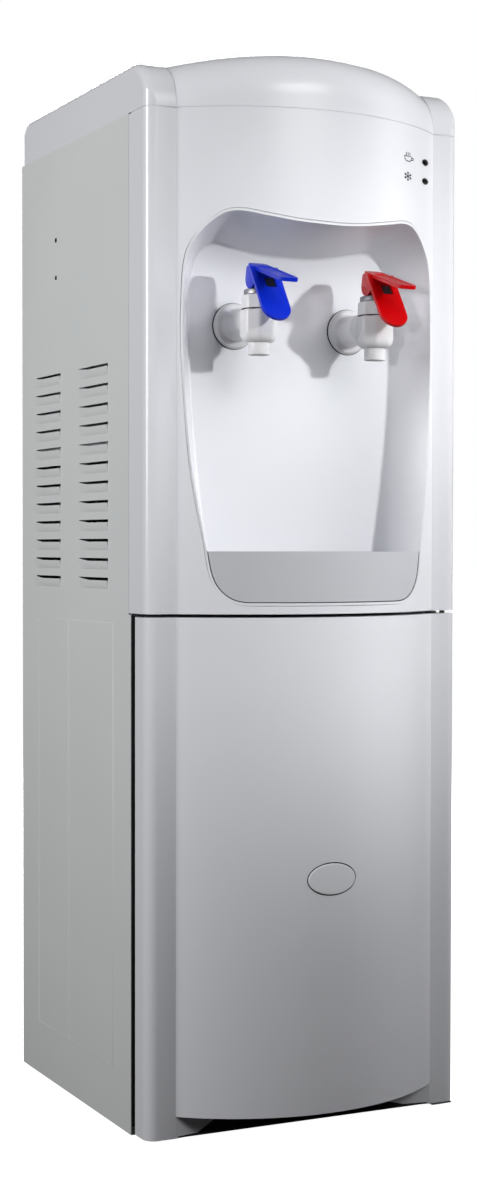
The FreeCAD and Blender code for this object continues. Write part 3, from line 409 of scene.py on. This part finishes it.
def leverMesh(pin, shape):
    slope = math.radians(shape["plateSlope"])
    along = Vector((0, -math.cos(slope), -math.sin(slope)))
    above = Vector((0, -math.sin(slope), math.cos(slope)))
    length, width = shape["plateLength"], shape["plateWidth"]
    rear = pin + millimetres(*shape["plateStart"])
    plate = slabMesh(roundedBox(length, width, shape["tipRadius"], (length / 2, 0)), rear, along, sideways, above,
                     -shape["plateThick"], 0)
    dishOutline = roundedBox(length - shape["dishEnds"], width - shape["dishSides"], shape["dishRadius"],
                             (length / 2 + shape["dishShift"], 0))
    dish = slabMesh(dishOutline, rear, along, sideways, above, -shape["dishDepth"], 2)
    lean = math.radians(shape["paddleLean"])
    down = Vector((0, -math.sin(lean), -math.cos(lean)))
    face = Vector((0, -math.cos(lean), math.sin(lean)))
    radius = shape["paddleWidth"] / 2
    straight = shape["paddleLength"] - radius
    outline = [(0, radius), (0, -radius)] + [(straight + a, b) for a, b in arcPoints(radius, -90, 90, 20)]
    top = pin + millimetres(*shape["paddleStart"])
    paddle = slabMesh(outline, top, down, sideways, face, -shape["paddleThick"], 0)
    hubOutline = hubFront + arcPoints(shape["hubRadius"], 195, 378, 14) + hubRear
    half = shape["hubWidth"] / 2
    hub = slabMesh(hubOutline, pin, rearward, upward, sideways, -half, half)
    gap = shape["forkWidth"] / 2
    fork = slabMesh(forkOutline, pin, rearward, upward, sideways, -gap, gap)
    wide, tall, deep = shape["pocket"]
    # black insert at the floor of the pocket: painted shade that makes the pocket read dark
    pocketShadeOutline = roundedBox(tall - shape["shadeGap"], wide - shape["shadeGap"], shape["shadeRadius"], shape["pocketPlace"])
    pocketShadeFoot = -deep - shape["shadeSunk"]
    pocketShade = slabMesh(pocketShadeOutline, top, down, sideways, face, pocketShadeFoot, pocketShadeFoot + shape["shadeThick"])
    pocketOutline = roundedBox(tall, wide, shape["pocketRadius"], shape["pocketPlace"])
    pocket = slabMesh(pocketOutline, top, down, sideways, face, -deep, 2)
    solid = combine(plate, [paddle, hub])
    solid = combine(solid, [fork, pocket, dish], "DIFFERENCE")
    return eased(solid, shape["ease"], 3), pocketShade


for side, slotName in (("cold", "blue_abs"), ("hot", "red_abs")):
    moulding, pocketShade = leverMesh(pins[side], leverShape)
    finishPiece(side + "_lever_moulding", moulding, materials[slotName], side + "_lever", [side + "_lever"])
    finishPiece(side + "_lever_pocket_shade", pocketShade, materials["black_plastic"], side + "_lever")
print("levers made")

# ---- taps: faceted valve body on a round shank with a wall flange, bonnet, seal ring and plated gland
tapShape = {"facets": 8, "belowPin": 36.5}
bodyRows = [(-19.6, 8.5, 0), (-19.2, 11.5, 0.2), (-17.4, 14.2, 0.5), (-14.6, 15.9, 0.85), (-11.5, 16.5, 1),
            (7.2, 16.5, 1), (8.6, 16.3, 1), (9.0, 15.9, 1)]
nozzleRows = [(-16, 9.3, 0), (-29.2, 9.5, 0), (-30, 9.1, 0), (-30, 7.0, 0), (-29.4, 6.5, 0), (-20, 6.5, 0)]
shankRows = [(0, 13.8, 0), (30, 13.8, 0), (42, 14, 0), (45.2, 14.6, 0), (46.4, 16.2, 0), (46.8, 18.6, 0),
             (48.6, 20.0, 0), (50.2, 20.5, 0), (51.0, 20.2, 0), (51.0, 9, 0)]
# black ring behind each wall flange: a seal that also paints the contact shade round the flange
wallShadeRows = [(51.1, 9, 0), (51.1, 20.7, 0), (51.3, 20.9, 0), (51.9, 20.9, 0), (51.9, 9, 0)]
bonnetRows = [(9.7, 12, 1), (9.7, 15.1, 1), (10.3, 15.5, 1), (20.8, 15.1, 1), (21.8, 14.5, 1), (22.2, 13.6, 1),
              (22.2, 10, 1)]
sealRows = [(8.6, 15.2, 0), (8.8, 15.5, 0), (9.9, 15.5, 0), (10.1, 15.2, 0)]
glandRows = [(22.3, 10, 0), (22.3, 13.0, 0), (22.7, 13.4, 0), (26.0, 13.4, 0), (26.8, 12.8, 0), (27.0, 12.0, 0),
             (27.0, 3.4, 0), (24, 3.4, 0)]
tapMeshes = {"body": [], "bonnet": [], "seal": [], "gland": []}
for side in ("cold", "hot"):
    level = pins[side] - millimetres(0, 0, tapShape["belowPin"])
    valve = ringStack(bodyRows, level, "z", tapShape["facets"])
    shank = ringStack(shankRows, level, "y")
    nozzle = ringStack(nozzleRows, level, "z")
    tapMeshes["body"].append(eased(combine(valve, [shank, nozzle]), 0.5, 2, 40))
    tapMeshes["bonnet"].append(ringStack(bonnetRows, level, "z", tapShape["facets"]))
    tapMeshes["seal"] += [ringStack(sealRows, level, "z"), ringStack(wallShadeRows, level, "y")]
    tapMeshes["gland"].append(ringStack(glandRows, level, "z"))
finishPiece("tap_valve_mouldings", joinMeshes(tapMeshes["body"]), materials["tap_abs"], "cabinet",
            ["tap_bodies"], 40)
finishPiece("tap_bonnet_mouldings", joinMeshes(tapMeshes["bonnet"]), materials["tap_abs"], "cabinet",
            ["tap_bonnets"], 28)
# O-rings under the bonnets, and the rings behind the flanges that paint contact shade
finishPiece("tap_seal_and_shade_rings", joinMeshes(tapMeshes["seal"]), materials["rubber"], "cabinet")
finishPiece("tap_gland_rings", joinMeshes(tapMeshes["gland"]), materials["chrome"], "cabinet",
            ["tap_collars"], 40)
print("taps made")

# ---- screws: pan heads with a cross recess
screwShape = {"radius": 3.6, "height": 1.5, "crossLength": 3.6, "crossWidth": 0.9, "crossDepth": 1.0}
smallScrew = {"radius": 2.25, "height": 0.7, "crossLength": 2.4, "crossWidth": 0.7, "crossDepth": 0.5}
rearScrews = {"inset": 8, "first": 40, "step": 280, "count": 4, "panel": 920}
sideScrews = {"back": 222, "low": 316, "step": 36, "count": 2}


def screwHead(shape):
    rows = [(0, shape["radius"], 0), (0.3 * shape["height"], shape["radius"], 0),
            (0.75 * shape["height"], 0.82 * shape["radius"], 0), (shape["height"], 0.5 * shape["radius"], 0)]
    head = ringStack(rows, Vector(), "z", steps=32)
    top = upward * shape["height"] * mm
    long, thin = shape["crossLength"], shape["crossWidth"]
    cross = [slabMesh(roundedBox(a, b, 0.2, steps=2), top, sideways, rearward, upward, -shape["crossDepth"], 1)
             for a, b in ((long, thin), (thin, long))]
    return combine(head, cross, "DIFFERENCE")


def placed(mesh, turn, place):
    copy = mesh.copy()
    copy.transform(Matrix.Translation(place) @ turn)
    return copy


coverBase = boxes["left_side_panel"][1][2]
deckTop = boxes["mid_deck"][1][2]
scale = (coverBase - floorGap) / rearScrews["panel"]
toBack = Matrix.Rotation(math.radians(-90), 4, "X")
inset = rearScrews["inset"] * mm
corner = Vector((inset - cabinetSide, backPlane, floorGap + scale * rearScrews["first"]))
head = placed(screwHead(screwShape), toBack, corner)
heads = repeated(head, materials["stainless"], rearScrews["count"], (0, 0, scale * rearScrews["step"]), 2,
                 (2 * cabinetSide - 2 * inset, 0, 0))
finishPiece("panel_screw_heads", heads, materials["stainless"], "cabinet", ["panel_screws"], 30)
smallHead = screwHead(smallScrew)
smallMeshes = []
for sign in (-1, 1):
    toSide = Matrix.Rotation(math.radians(90 * sign), 4, "Y")
    spot = Vector((sign * cabinetSide, pillarPlane + sideScrews["back"] * mm, deckTop + sideScrews["low"] * mm))
    smallMeshes.append(repeated(placed(smallHead, toSide, spot), materials["black_enamel"], sideScrews["count"],
                                (0, 0, sideScrews["step"] * mm), 1, (0, 0, 0)))
finishPiece("side_screw_heads", joinMeshes(smallMeshes), materials["black_enamel"], "cabinet", sharp=30)
print("screws made")

# ---- louvres: a pressed lip below each slot, blunt at its front end and running out to nothing at the back; the last
# powers bunch the sections towards the front, fill the swell out, hold the slot open and curl the lip
louvreShape = {"pitch": 17.6, "count": 12, "length": 72.5, "lip": 7.5, "proud": 1.5, "slot": 27.5, "blunt": 1.0,
               "taper": 30, "cover": 0.4, "closed": 2.6, "columns": (89.5, 210.0), "steps": 30, "rows": 7,
               "edge": 0.05, "thick": 0.55, "root": 0.7, "rootDrop": 0.6,
               "bunch": 1.4, "swell": 0.8, "hold": 1.3, "curl": 0.7}


def louvreLip(shape, sign):
    points = []
    steps, rows = shape["steps"], shape["rows"]
    for i in range(steps + 1):
        reach = shape["length"] * (i / steps) ** shape["bunch"]
        front = min(reach / shape["blunt"], 1)
        back = min((shape["length"] - reach) / shape["taper"], 1)
        swell = math.sin(min(front, back) * math.pi / 2) ** shape["swell"]
        rise = shape["cover"] + (shape["closed"] - shape["cover"]) * (1 - back) ** shape["hold"]
        for j in range(rows):
            turn = j / (rows - 1)
            out = shape["proud"] * swell * math.sin(turn * math.pi / 2) ** shape["curl"]
            points.append(millimetres(sign * (out - shape["edge"]), reach, rise * turn - shape["lip"] * (1 - turn)))
        points.append(millimetres(sign * (shape["proud"] * swell - shape["thick"]), reach, rise))
        points.append(millimetres(sign * -shape["root"], reach, -shape["lip"] * shape["rootDrop"]))
    ring = rows + 2
    faces = [[i * ring + j, i * ring + (j + 1) % ring, (i + 1) * ring + (j + 1) % ring, (i + 1) * ring + j]
             for i in range(steps) for j in range(ring)]
    faces += [list(range(ring)), [steps * ring + j for j in range(ring)]]
    return closedMesh(points, faces)


for sign, panel in ((-1, "left"), (1, "right")):
    front, back = louvreShape["columns"]
    start = Vector((sign * cabinetSide, pillarPlane + front * mm, deckTop + louvreShape["slot"] * mm))
    lip = placed(louvreLip(louvreShape, sign), Matrix(), start)
    lips = repeated(lip, materials["panel_paint"], louvreShape["count"], (0, 0, louvreShape["pitch"] * mm), 2,
                    (0, (back - front) * mm, 0))
    finishPiece(panel + "_louvre_lips", lips, materials["panel_paint"], "cabinet", sharp=50)
print("louvres made")


# ---- thin beads drawn along a line of points
def beadMesh(points, radius, closed=False, steps=3):
    line = bpy.data.curves.new("line", "CURVE")
    line.dimensions = "3D"
    line.bevel_depth = radius
    line.bevel_resolution = steps
    line.use_fill_caps = True
    spline = line.splines.new("POLY")
    spline.points.add(len(points) - 1)
    for spot, point in zip(spline.points, points):
        spot.co = (*point, 1)
    spline.use_cyclic_u = closed
    return baked(show("line", line))


# ---- stem springs: a coil of wire filling each spring's box
springShape = {"wire": 0.8, "pitch": 3.6, "squeezed": 2.8, "steps": 24}
for side in ("cold", "hot"):
    low, high = [Vector(corner) for corner in boxes[side + "_spring"]]
    middle, wire = (low + high) / 2, springShape["wire"] * mm
    rise = high.z - low.z - 2 * wire
    turns = rise / (springShape["pitch"] * mm)
    count = round(turns * springShape["steps"])
    coilLine = []
    for k in range(count + 1):
        angle = 2 * math.pi * turns * k / count
        reach = (high.x - low.x) / 2 - wire
        coilLine.append(Vector((middle.x + reach * math.cos(angle), middle.y + reach * math.sin(angle),
                                low.z + wire + rise * k / count)))
    coil = finishPiece(side + "_spring_coil", beadMesh(coilLine, wire), materials["stainless"], "cabinet",
                       [side + "_spring"], 60)
    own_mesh(coil)

# ---- pressed stiffening line round the lower half of each side panel, with a rib down its middle
panelPress = {"front": 78, "rib": 191, "back": 272, "low": 51, "high": 452, "radius": 1.3, "sunk": 0.9}
for sign, panel in ((-1, "left"), (1, "right")):
    across = sign * (cabinetSide - panelPress["sunk"] * mm)
    at = lambda y, z: Vector((across, pillarPlane + panelPress[y] * mm, floorGap + panelPress[z] * mm))
    frameLine = [at("front", "high"), at("front", "low"), at("back", "low"), at("back", "high")]
    rib = [at("rib", "high"), at("rib", "low")]
    beads = joinMeshes([beadMesh(frameLine, panelPress["radius"] * mm, True), beadMesh(rib, panelPress["radius"] * mm)])
    finishPiece(panel + "_panel_beads", beads, materials["panel_paint"], "cabinet", sharp=60)

# ---- black foam seal stuck to the cabinet flange behind the door; it also paints the shade in the gap round the door
shadeSealShape = {"inset": 0.6, "width": 12, "thick": 0.9, "low": 8, "high": 460}
shadeSealMeshes = []
for sign in (-1, 1):
    outer = sign * (cabinetSide / mm - shadeSealShape["inset"])
    inner = outer - sign * shadeSealShape["width"]
    outline = [(outer, shadeSealShape["low"]), (inner, shadeSealShape["low"]), (inner, shadeSealShape["high"]),
               (outer, shadeSealShape["high"])]
    corner = Vector((0, pillarPlane + pillarDepth, floorGap))
    shadeSealMeshes.append(slabMesh(outline, corner, sideways, upward, rearward, -shadeSealShape["thick"], -0.05))
finishPiece("door_seal_shade_strips", eased(joinMeshes(shadeSealMeshes), 0.25), materials["rubber"], "cabinet")

# ---- the bow of the front, an arc between the two pillars
chordHalf = cabinetSide - pillarWidth
sagitta = pillarPlane - bowFront
bowRadius = (chordHalf ** 2 + sagitta ** 2) / (2 * sagitta)
bowMiddle = bowFront + bowRadius


def bowAt(across, proud=0.0):
    return bowMiddle - math.sqrt((bowRadius + proud) ** 2 - across ** 2)


# the mouth: the edges of the recess moulding that lie on the bow between its front and its inner wall, sampled at
# evenly spaced turns round the middle of the moulding
mouthTest = {"weld": 0.005, "offBow": 0.15, "inward": 0.5, "forward": 0.7, "count": 200}


def mouthPoints(test):
    body = bmesh.new()
    body.from_mesh(nodes["tap_alcove"].data)
    bmesh.ops.remove_doubles(body, verts=body.verts, dist=test["weld"] * mm)
    onBow = [v for v in body.verts
             if abs(math.hypot(v.co.x, v.co.y - bowMiddle) - bowRadius) < test["offBow"] * mm]
    middle = sum((v.co for v in onBow), Vector()) / len(onBow)
    middle.x = 0
    rimVerts = set(onBow)
    rim = []
    for edge in body.edges:
        if not rimVerts.issuperset(edge.verts):
            continue
        spot = (edge.verts[0].co + edge.verts[1].co) / 2 - middle
        inward = [face.normal.x * spot.x + face.normal.z * spot.z for face in edge.link_faces]
        fronts = [face.normal.y for face in edge.link_faces]
        if min(inward) < -test["inward"] * Vector((spot.x, spot.z)).length and min(fronts) < -test["forward"]:
            rim += [v.co.copy() for v in edge.verts]
    body.free()
    spots = sorted({(round(math.atan2(v.z - middle.z, v.x), 5), math.hypot(v.x, v.z - middle.z)) for v in rim})
    spots = [(spots[-1][0] - 2 * math.pi, spots[-1][1])] + spots + [(spots[0][0] + 2 * math.pi, spots[0][1])]
    found = []
    for k in range(test["count"]):
        angle = -math.pi + 2 * math.pi * (k + 0.5) / test["count"]
        after = next(i for i, spot in enumerate(spots) if spot[0] >= angle)
        (low, near), (high, far) = spots[after - 1], spots[after]
        found.append((angle, near + (far - near) * (angle - low) / max(high - low, 0.00001)))
    return middle, found


# thin beads up both sides of the mouth of the recess
recessMiddle, mouth = mouthPoints(mouthTest)
lipShape = {"radius": 0.6, "sunk": 0.5, "outward": 0.5, "half": 78}
leftLip, rightLip = [], []
for angle, reach in mouth:
    reach += lipShape["outward"] * mm
    across, up = reach * math.cos(angle), reach * math.sin(angle)
    if abs(up) < lipShape["half"] * mm:
        spot = Vector((across, bowAt(across, -lipShape["sunk"] * mm), recessMiddle.z + up))
        (rightLip if across > 0 else leftLip).append(spot)
lipBeads = [beadMesh(sorted(line, key=lambda point: point.z), lipShape["radius"] * mm, False, 4)
            for line in (leftLip, rightLip)]
finishPiece("recess_lip_beads", joinMeshes(lipBeads), materials["white_abs"], "cabinet", sharp=80)

# dark rubber strip in the gap between the recess and the front edge of the tray: painted shade in the gap
gapShadeShape = {"radius": 0.42, "inward": 0.4, "sunk": 1.1}
trayTop = boxes["drip_tray"][1][2]
gapShadeLine = []
for angle, reach in mouth:
    reach -= gapShadeShape["inward"] * mm
    across, up = reach * math.cos(angle), recessMiddle.z + reach * math.sin(angle)
    if up < trayTop:
        gapShadeLine.append(Vector((across, bowAt(across, -gapShadeShape["sunk"] * mm), up)))
gapShadeLine.sort(key=lambda point: math.atan2(point.z - recessMiddle.z, point.x))
finishPiece("tray_gap_shade_strip", beadMesh(gapShadeLine, gapShadeShape["radius"] * mm), materials["rubber"], "cabinet")

# ---- seam under the top cover: a pale tongue that fills the gap just behind the surface
seamShape = {"inset": 1.3, "radius": 0.85, "corner": 10, "back": 36, "level": 0.5, "steps": 60}
seamCorner = cabinetSide / mm - seamShape["corner"]
seamSide = cabinetSide / mm - seamShape["inset"]
bend = [(seamCorner + x, seamShape["corner"] + y)
        for x, y in arcPoints(seamShape["corner"] - seamShape["inset"], 0, -90, 8)]
seamHalf = [(seamSide, seamShape["back"])] + bend
chord = chordHalf / mm
seamLine = [Vector((x * mm, pillarPlane + y * mm, 0)) for x, y in seamHalf]
for k in range(seamShape["steps"] + 1):
    across = chordHalf * (1 - 2 * k / seamShape["steps"])
    seamLine.append(Vector((across, bowAt(across, -seamShape["inset"] * mm), 0)))
seamLine += [Vector((-x * mm, pillarPlane + y * mm, 0)) for x, y in reversed(seamHalf)]
for point in seamLine:
    point.z = coverBase - seamShape["level"] * mm
finishPiece("cover_seam_tongue", beadMesh(seamLine, seamShape["radius"] * mm), materials["white_abs"], "cabinet",
            sharp=80)

# ---- black rubber strip along the scooped foot of the door: painted shade under the overhang of the bow
toeShadeShape = {"depth": 14, "low": 3.3, "high": 4.6, "inset": 0.5, "lap": 1, "steps": 48, "facing": 19, "skipped": 4,
              "fore": 0.7, "aft": 1.6, "least": 0.4, "leftRise": 7, "rightRise": 3.2}
toeShadeReach = chord
toeShadeRadius = (toeShadeReach ** 2 + toeShadeShape["depth"] ** 2) / (2 * toeShadeShape["depth"])
toeShadeMiddle = toeShadeShape["depth"] - toeShadeRadius
toeShadeArc = [-toeShadeReach + 2 * toeShadeReach * k / toeShadeShape["steps"] for k in range(toeShadeShape["steps"] + 1)]
toeShadeOutline = [(x, toeShadeMiddle + math.sqrt(toeShadeRadius ** 2 - x ** 2) + toeShadeShape["lap"]) for x in toeShadeArc]
toeShadeOutline += [(toeShadeReach, toeShadeShape["inset"]), (-toeShadeReach, toeShadeShape["inset"])]
doorFoot = Vector((0, pillarPlane, floorGap))
toeShade = slabMesh(toeShadeOutline, doorFoot, sideways, rearward, upward, toeShadeShape["low"], toeShadeShape["high"])

# the black facing behind the scoop, painted shade on the scoop's wall, which runs out to the strip at both ends
low, skipped, fore, aft = toeShadeShape["low"], toeShadeShape["skipped"], toeShadeShape["fore"], toeShadeShape["aft"]
shadeFacingPoints = []
count = len(toeShadeArc) - 2 * skipped
for k in range(count):
    x, y = toeShadeOutline[k + skipped]
    share = k / (count - 1)
    rise = min(1, toeShadeShape["leftRise"] * share, toeShadeShape["rightRise"] * (1 - share))
    tall = low + toeShadeShape["least"] + (toeShadeShape["facing"] - low) * rise
    section = ((fore, low), (aft, low), (aft, tall), (fore, tall))
    shadeFacingPoints += [doorFoot + millimetres(x, y - depth, up) for depth, up in section]
faces = [[4 * k + j, 4 * k + (j + 1) % 4, 4 * k + 4 + (j + 1) % 4, 4 * k + 4 + j]
         for k in range(count - 1) for j in range(4)]
faces += [[0, 1, 2, 3], [4 * count - 4 + j for j in range(4)]]
toeShade = joinMeshes([toeShade, closedMesh(shadeFacingPoints, faces)])
finishPiece("door_toe_shade", toeShade, materials["rubber"], "door")


# rings of an oval laid on the bowed front; each row shrinks the oval and stands so far proud of the bow
def ovalStack(rows, long, short, centre, steps=96):
    points = []
    for shrink, proud in rows:
        for k in range(steps):
            angle = 2 * math.pi * k / steps
            across = centre.x + max(long - shrink, 0.01) * mm * math.cos(angle)
            up = centre.z + max(short - shrink, 0.01) * mm * math.sin(angle)
            points.append(Vector((across, bowAt(across, proud * mm), up)))
    faces = [[r * steps + k, r * steps + (k + 1) % steps, (r + 1) * steps + (k + 1) % steps, (r + 1) * steps + k]
             for r in range(len(rows) - 1) for k in range(steps)]
    faces += [list(range(steps)), [(len(rows) - 1) * steps + k for k in range(steps)]]
    return closedMesh(points, faces)


def ovalRing(rows, long, short, centre, steps=96):
    mesh = ovalStack(rows + rows[:1], long, short, centre, steps)
    body = bmesh.new()
    body.from_mesh(mesh)
    bmesh.ops.delete(body, geom=[face for face in body.faces if len(face.verts) > 4], context="FACES")
    bmesh.ops.remove_doubles(body, verts=body.verts, dist=0.002 * mm)
    body.to_mesh(mesh)
    body.free()
    return mesh


# ---- plain oval badge: a plate with a rounded edge in a narrow groove, with a black ring at the groove's floor as painted shade
badgeShape = {"long": 23.35, "short": 13.7, "grooveLong": 24.5, "grooveShort": 14.85, "proud": 0.8,
              "shift": (0.6, 0, -0.5)}
badgeMiddle = (Vector(boxes["door_badge"][0]) + Vector(boxes["door_badge"][1])) / 2
badgeMiddle += millimetres(*badgeShape["shift"])
crown = badgeShape["proud"]
plateRows = [(0, -1.2), (0, 0), (0.12, 0.7 * crown), (0.4, 0.95 * crown), (0.9, crown)]
plateRows += [(shrink, crown) for shrink in (3, 6, 9, 12)]
finishPiece("badge_plate", ovalStack(plateRows, badgeShape["long"], badgeShape["short"], badgeMiddle),
            materials["badge"], "door", ["door_badge"], 50)
surroundRows = [(0, -1.2), (0, 0.05), (-1.4, 0.05), (-1.4, -0.3), (-0.7, -1.2)]
finishPiece("badge_surround", ovalRing(surroundRows, badgeShape["grooveLong"], badgeShape["grooveShort"], badgeMiddle),
            materials["white_abs"], "door", sharp=40)
# black ring at the floor of the groove: painted shade in the groove
grooveShadeRows = [(1.3, -1.15), (1.3, -0.75), (-0.3, -0.75), (-0.3, -1.15)]
finishPiece("badge_groove_shade", ovalRing(grooveShadeRows, badgeShape["grooveLong"], badgeShape["grooveShort"], badgeMiddle),
            materials["rubber"], "door")

# ---- lamps: black domes that stand out of white sleeves
lampShape = {"wide": 4.8, "tall": 2.95, "height": 2.4, "foot": 0.4, "left": 1.0, "sleeve": 1.3, "inset": 3.2}
domeMeshes, sleeveMeshes = [], []
lensBox = [Vector(corner) for corner in boxes["indicator_lenses"]]
lampMiddle = (lensBox[0] + lensBox[1]) / 2
lampHalf = (lensBox[1].z - lensBox[0].z) / 2 - lampShape["inset"] * mm
for up in (lampMiddle.z - lampHalf, lampMiddle.z + lampHalf):
    spot = Vector((lampMiddle.x - lampShape["left"] * mm, 0, up))
    wide, tall, foot, sleeve = (lampShape[key] for key in ("wide", "tall", "foot", "sleeve"))
    turns = [math.pi / 2 * k / 8 for k in range(1, 8)]
    domeRows = [(0, -2), (0, foot)]
    domeRows += [(tall * (1 - math.cos(turn)), foot + (lampShape["height"] - foot) * math.sin(turn)) for turn in turns]
    domeMeshes.append(ovalStack(domeRows, wide, tall, spot, 48))
    sleeveRows = [(0.05, -1.5), (0.05, 0.06), (-sleeve, 0.06), (-sleeve, -0.4)]
    sleeveMeshes.append(ovalRing(sleeveRows, wide, tall, spot, 48))
finishPiece("lamp_domes", joinMeshes(domeMeshes), materials["lamp_lens"], "cabinet",
            ["indicator_lenses"], 50)
finishPiece("lamp_sleeves", joinMeshes(sleeveMeshes), materials["white_abs"], "cabinet", sharp=40)
print("seams, badge and lamps made")

# ---- marks beside the lamps: a steaming cup and a snow crystal, printed as fine lines
markShape = {"side": -27.0, "line": 0.55, "flat": 0.25, "cupWide": 1.75, "cupTall": 1.1, "flakeSide": -28.0,
             "flakeWide": 1.35, "flakeReach": 4.2, "twigStart": 0.55, "twigLength": 0.34, "twigTurn": 0.8}
cupStrokes = [[(-3.4, 0.8), (-3.1, -1.6), (-1.8, -3.1), (0.9, -3.1), (2.2, -1.6), (2.5, 0.8), (-3.4, 0.8)],
              [(2.4, 0.1), (3.7, 0.1), (4.1, -0.7), (3.5, -1.6), (2.2, -1.7)]]
cupStrokes += [[(x, 1.6), (x + 0.5, 2.3), (x, 3.1), (x + 0.5, 3.9)] for x in (-2.2, -0.7, 0.8)]


def flakeStrokes(shape):
    strokes = []
    reach = shape["flakeReach"]
    for k in range(6):
        turn = math.radians(60 * k + 30)
        ray = Vector((math.cos(turn), math.sin(turn)))
        strokes.append([(0, 0), tuple(ray * reach)])
        fork = ray * reach * shape["twigStart"]
        for sign in (-1, 1):
            aside = turn + sign * shape["twigTurn"]
            twig = Vector((math.cos(aside), math.sin(aside))) * reach * shape["twigLength"]
            strokes.append([tuple(fork), tuple(fork + twig)])
    return strokes


# strokes laid flat on the bowed front round a middle that is so far aside and so far up from the lamps
def printedMark(strokes, aside, up, wide, tall):
    meshes = []
    for stroke in strokes:
        line = [Vector((lampMiddle.x + (aside + x * wide) * mm, 0, lampMiddle.z + up + z * tall * mm))
                for x, z in stroke]
        meshes.append(beadMesh(line, markShape["line"] * mm, steps=1))
    mesh = joinMeshes(meshes)
    for v in mesh.vertices:
        v.co.y = bowAt(v.co.x) + v.co.y * markShape["flat"]
    return mesh


# pad-printed ink: dark, flat and matt
ink = mouldedPlastic("padPrintInk", "#26262C", "#2E2E34", 0.45, 0.6, 1.0, 0.00001)
cup = printedMark(cupStrokes, markShape["side"], lampHalf, markShape["cupWide"], markShape["cupTall"])
flake = printedMark(flakeStrokes(markShape), markShape["flakeSide"], -lampHalf, markShape["flakeWide"], 1)
finishPiece("lamp_marks", joinMeshes([cup, flake]), ink, "cabinet", sharp=60)
print("marks made")

# ---- camera, light and floor
cameraSet = {"place": (-0.8357, -1.72015, 0.5242), "yaw": 25.726, "pitch": 1.525, "roll": 0.074, "lens": 60.11}


def aimCamera(settings):
    yaw, pitch, roll = (math.radians(settings[k]) for k in ("yaw", "pitch", "roll"))
    ahead = Vector((math.sin(yaw) * math.cos(pitch), math.cos(yaw) * math.cos(pitch), -math.sin(pitch)))
    right = Vector((math.cos(yaw), -math.sin(yaw), 0))
    up = right.cross(ahead)
    tiltedRight = right * math.cos(roll) + up * math.sin(roll)
    tiltedUp = tiltedRight.cross(ahead)
    lens = bpy.data.cameras.new("camera")
    lens.lens = settings["lens"]
    lens.sensor_width = 36
    lens.clip_start = 0.05
    eye = bpy.data.objects.new("camera", lens)
    bpy.context.scene.collection.objects.link(eye)
    turn = Matrix((tiltedRight, tiltedUp, -ahead)).transposed().to_4x4()
    eye.matrix_world = Matrix.Translation(settings["place"]) @ turn
    bpy.context.scene.camera = eye


aimCamera(cameraSet)
bpy.context.scene.view_settings.view_transform = "Standard"


def softbox(name, place, target, width, height, power, spread, mirrored):
    lamp = bpy.data.lights.new(name, "AREA")
    lamp.shape = "RECTANGLE"
    lamp.size = width
    lamp.size_y = height
    lamp.energy = power
    lamp.spread = math.radians(spread)
    body = bpy.data.objects.new(name, lamp)
    body.location = place
    body.rotation_euler = (Vector(target) - Vector(place)).to_track_quat("-Z", "Y").to_euler()
    body.visible_glossy = mirrored
    bpy.context.scene.collection.objects.link(body)


# name, place, target, width, height, power, spread and whether gloss shows it
for lampRow in (("keyRight", (1.02, -1.95, 1.08), (0.02, -0.1, 0.78), 0.09, 0.09, 0.69, 46, False),
                ("keyBeam", (1.02, -1.95, 1.08), (0.0, -0.1, 0.64), 0.09, 0.09, 0.17, 17, False),
                ("frontWash", (0.35, -2.1, 1.75), (0.0, -0.1, 0.74), 1.1, 0.9, 2.1, 60, True),
                ("highWash", (0.3, -1.7, 2.0), (0.0, -0.1, 0.85), 0.9, 0.6, 0.17, 50, True),
                ("leftBeam", (-1.25, -1.75, 0.62), (0.13, -0.15, 0.76), 0.12, 0.12, 0.055, 14, False),
                ("doorBeam", (0.75, -2.1, 0.75), (0.05, -0.2, 0.38), 0.1, 0.1, 0.036, 10, False),
                ("fillLeft", (-2.3, -0.2, 1.2), (0, 0.05, 0.70), 0.7, 1.2, 10.2, 90, True),
                ("fillRight", (1.9, -0.9, 1.5), (0, 0, 0.75), 0.8, 1.0, 3.1, 60, False),
                ("backFill", (0.9, 2.4, 1.5), (0, 0.1, 0.5), 1.2, 1.4, 55, 180, True)):
    softbox(*lampRow)

world = bpy.data.worlds.new("studio")
bpy.context.scene.world = world
world.use_nodes = True
worldTree = world.node_tree
sky = worldTree.nodes["Background"]
sky.inputs[0].default_value = linearColour("#FFFFFF")
rays = addNode(worldTree, "ShaderNodeLightPath")
glow = addNode(worldTree, "ShaderNodeMapRange", {"To Min": 0.025, "To Max": 1.0},
               {"Value": rays.outputs["Is Camera Ray"]})
worldTree.links.new(glow.outputs[0], sky.inputs[1])

floorMesh = bpy.data.meshes.new("floor")
floorHalf = 30
floorMesh.from_pydata([(x * floorHalf, y * floorHalf, 0) for x, y in ((-1, -1), (1, -1), (1, 1), (-1, 1))], [],
                      [(0, 1, 2, 3)])
floor = show("floor", floorMesh)
# matt painted board, lit from within so that it stays an even white
floorPaint, _, floorShader, _ = startMaterial("matPaintedBoard", "#FAFAFA", 0.9)
floorShader.inputs["Emission Color"].default_value = (1, 1, 1, 1)
floorShader.inputs["Emission Strength"].default_value = 1.0
floorMesh.materials.append(floorPaint)
floor.visible_diffuse = False
floor.visible_glossy = False
print("camera, light and floor set")
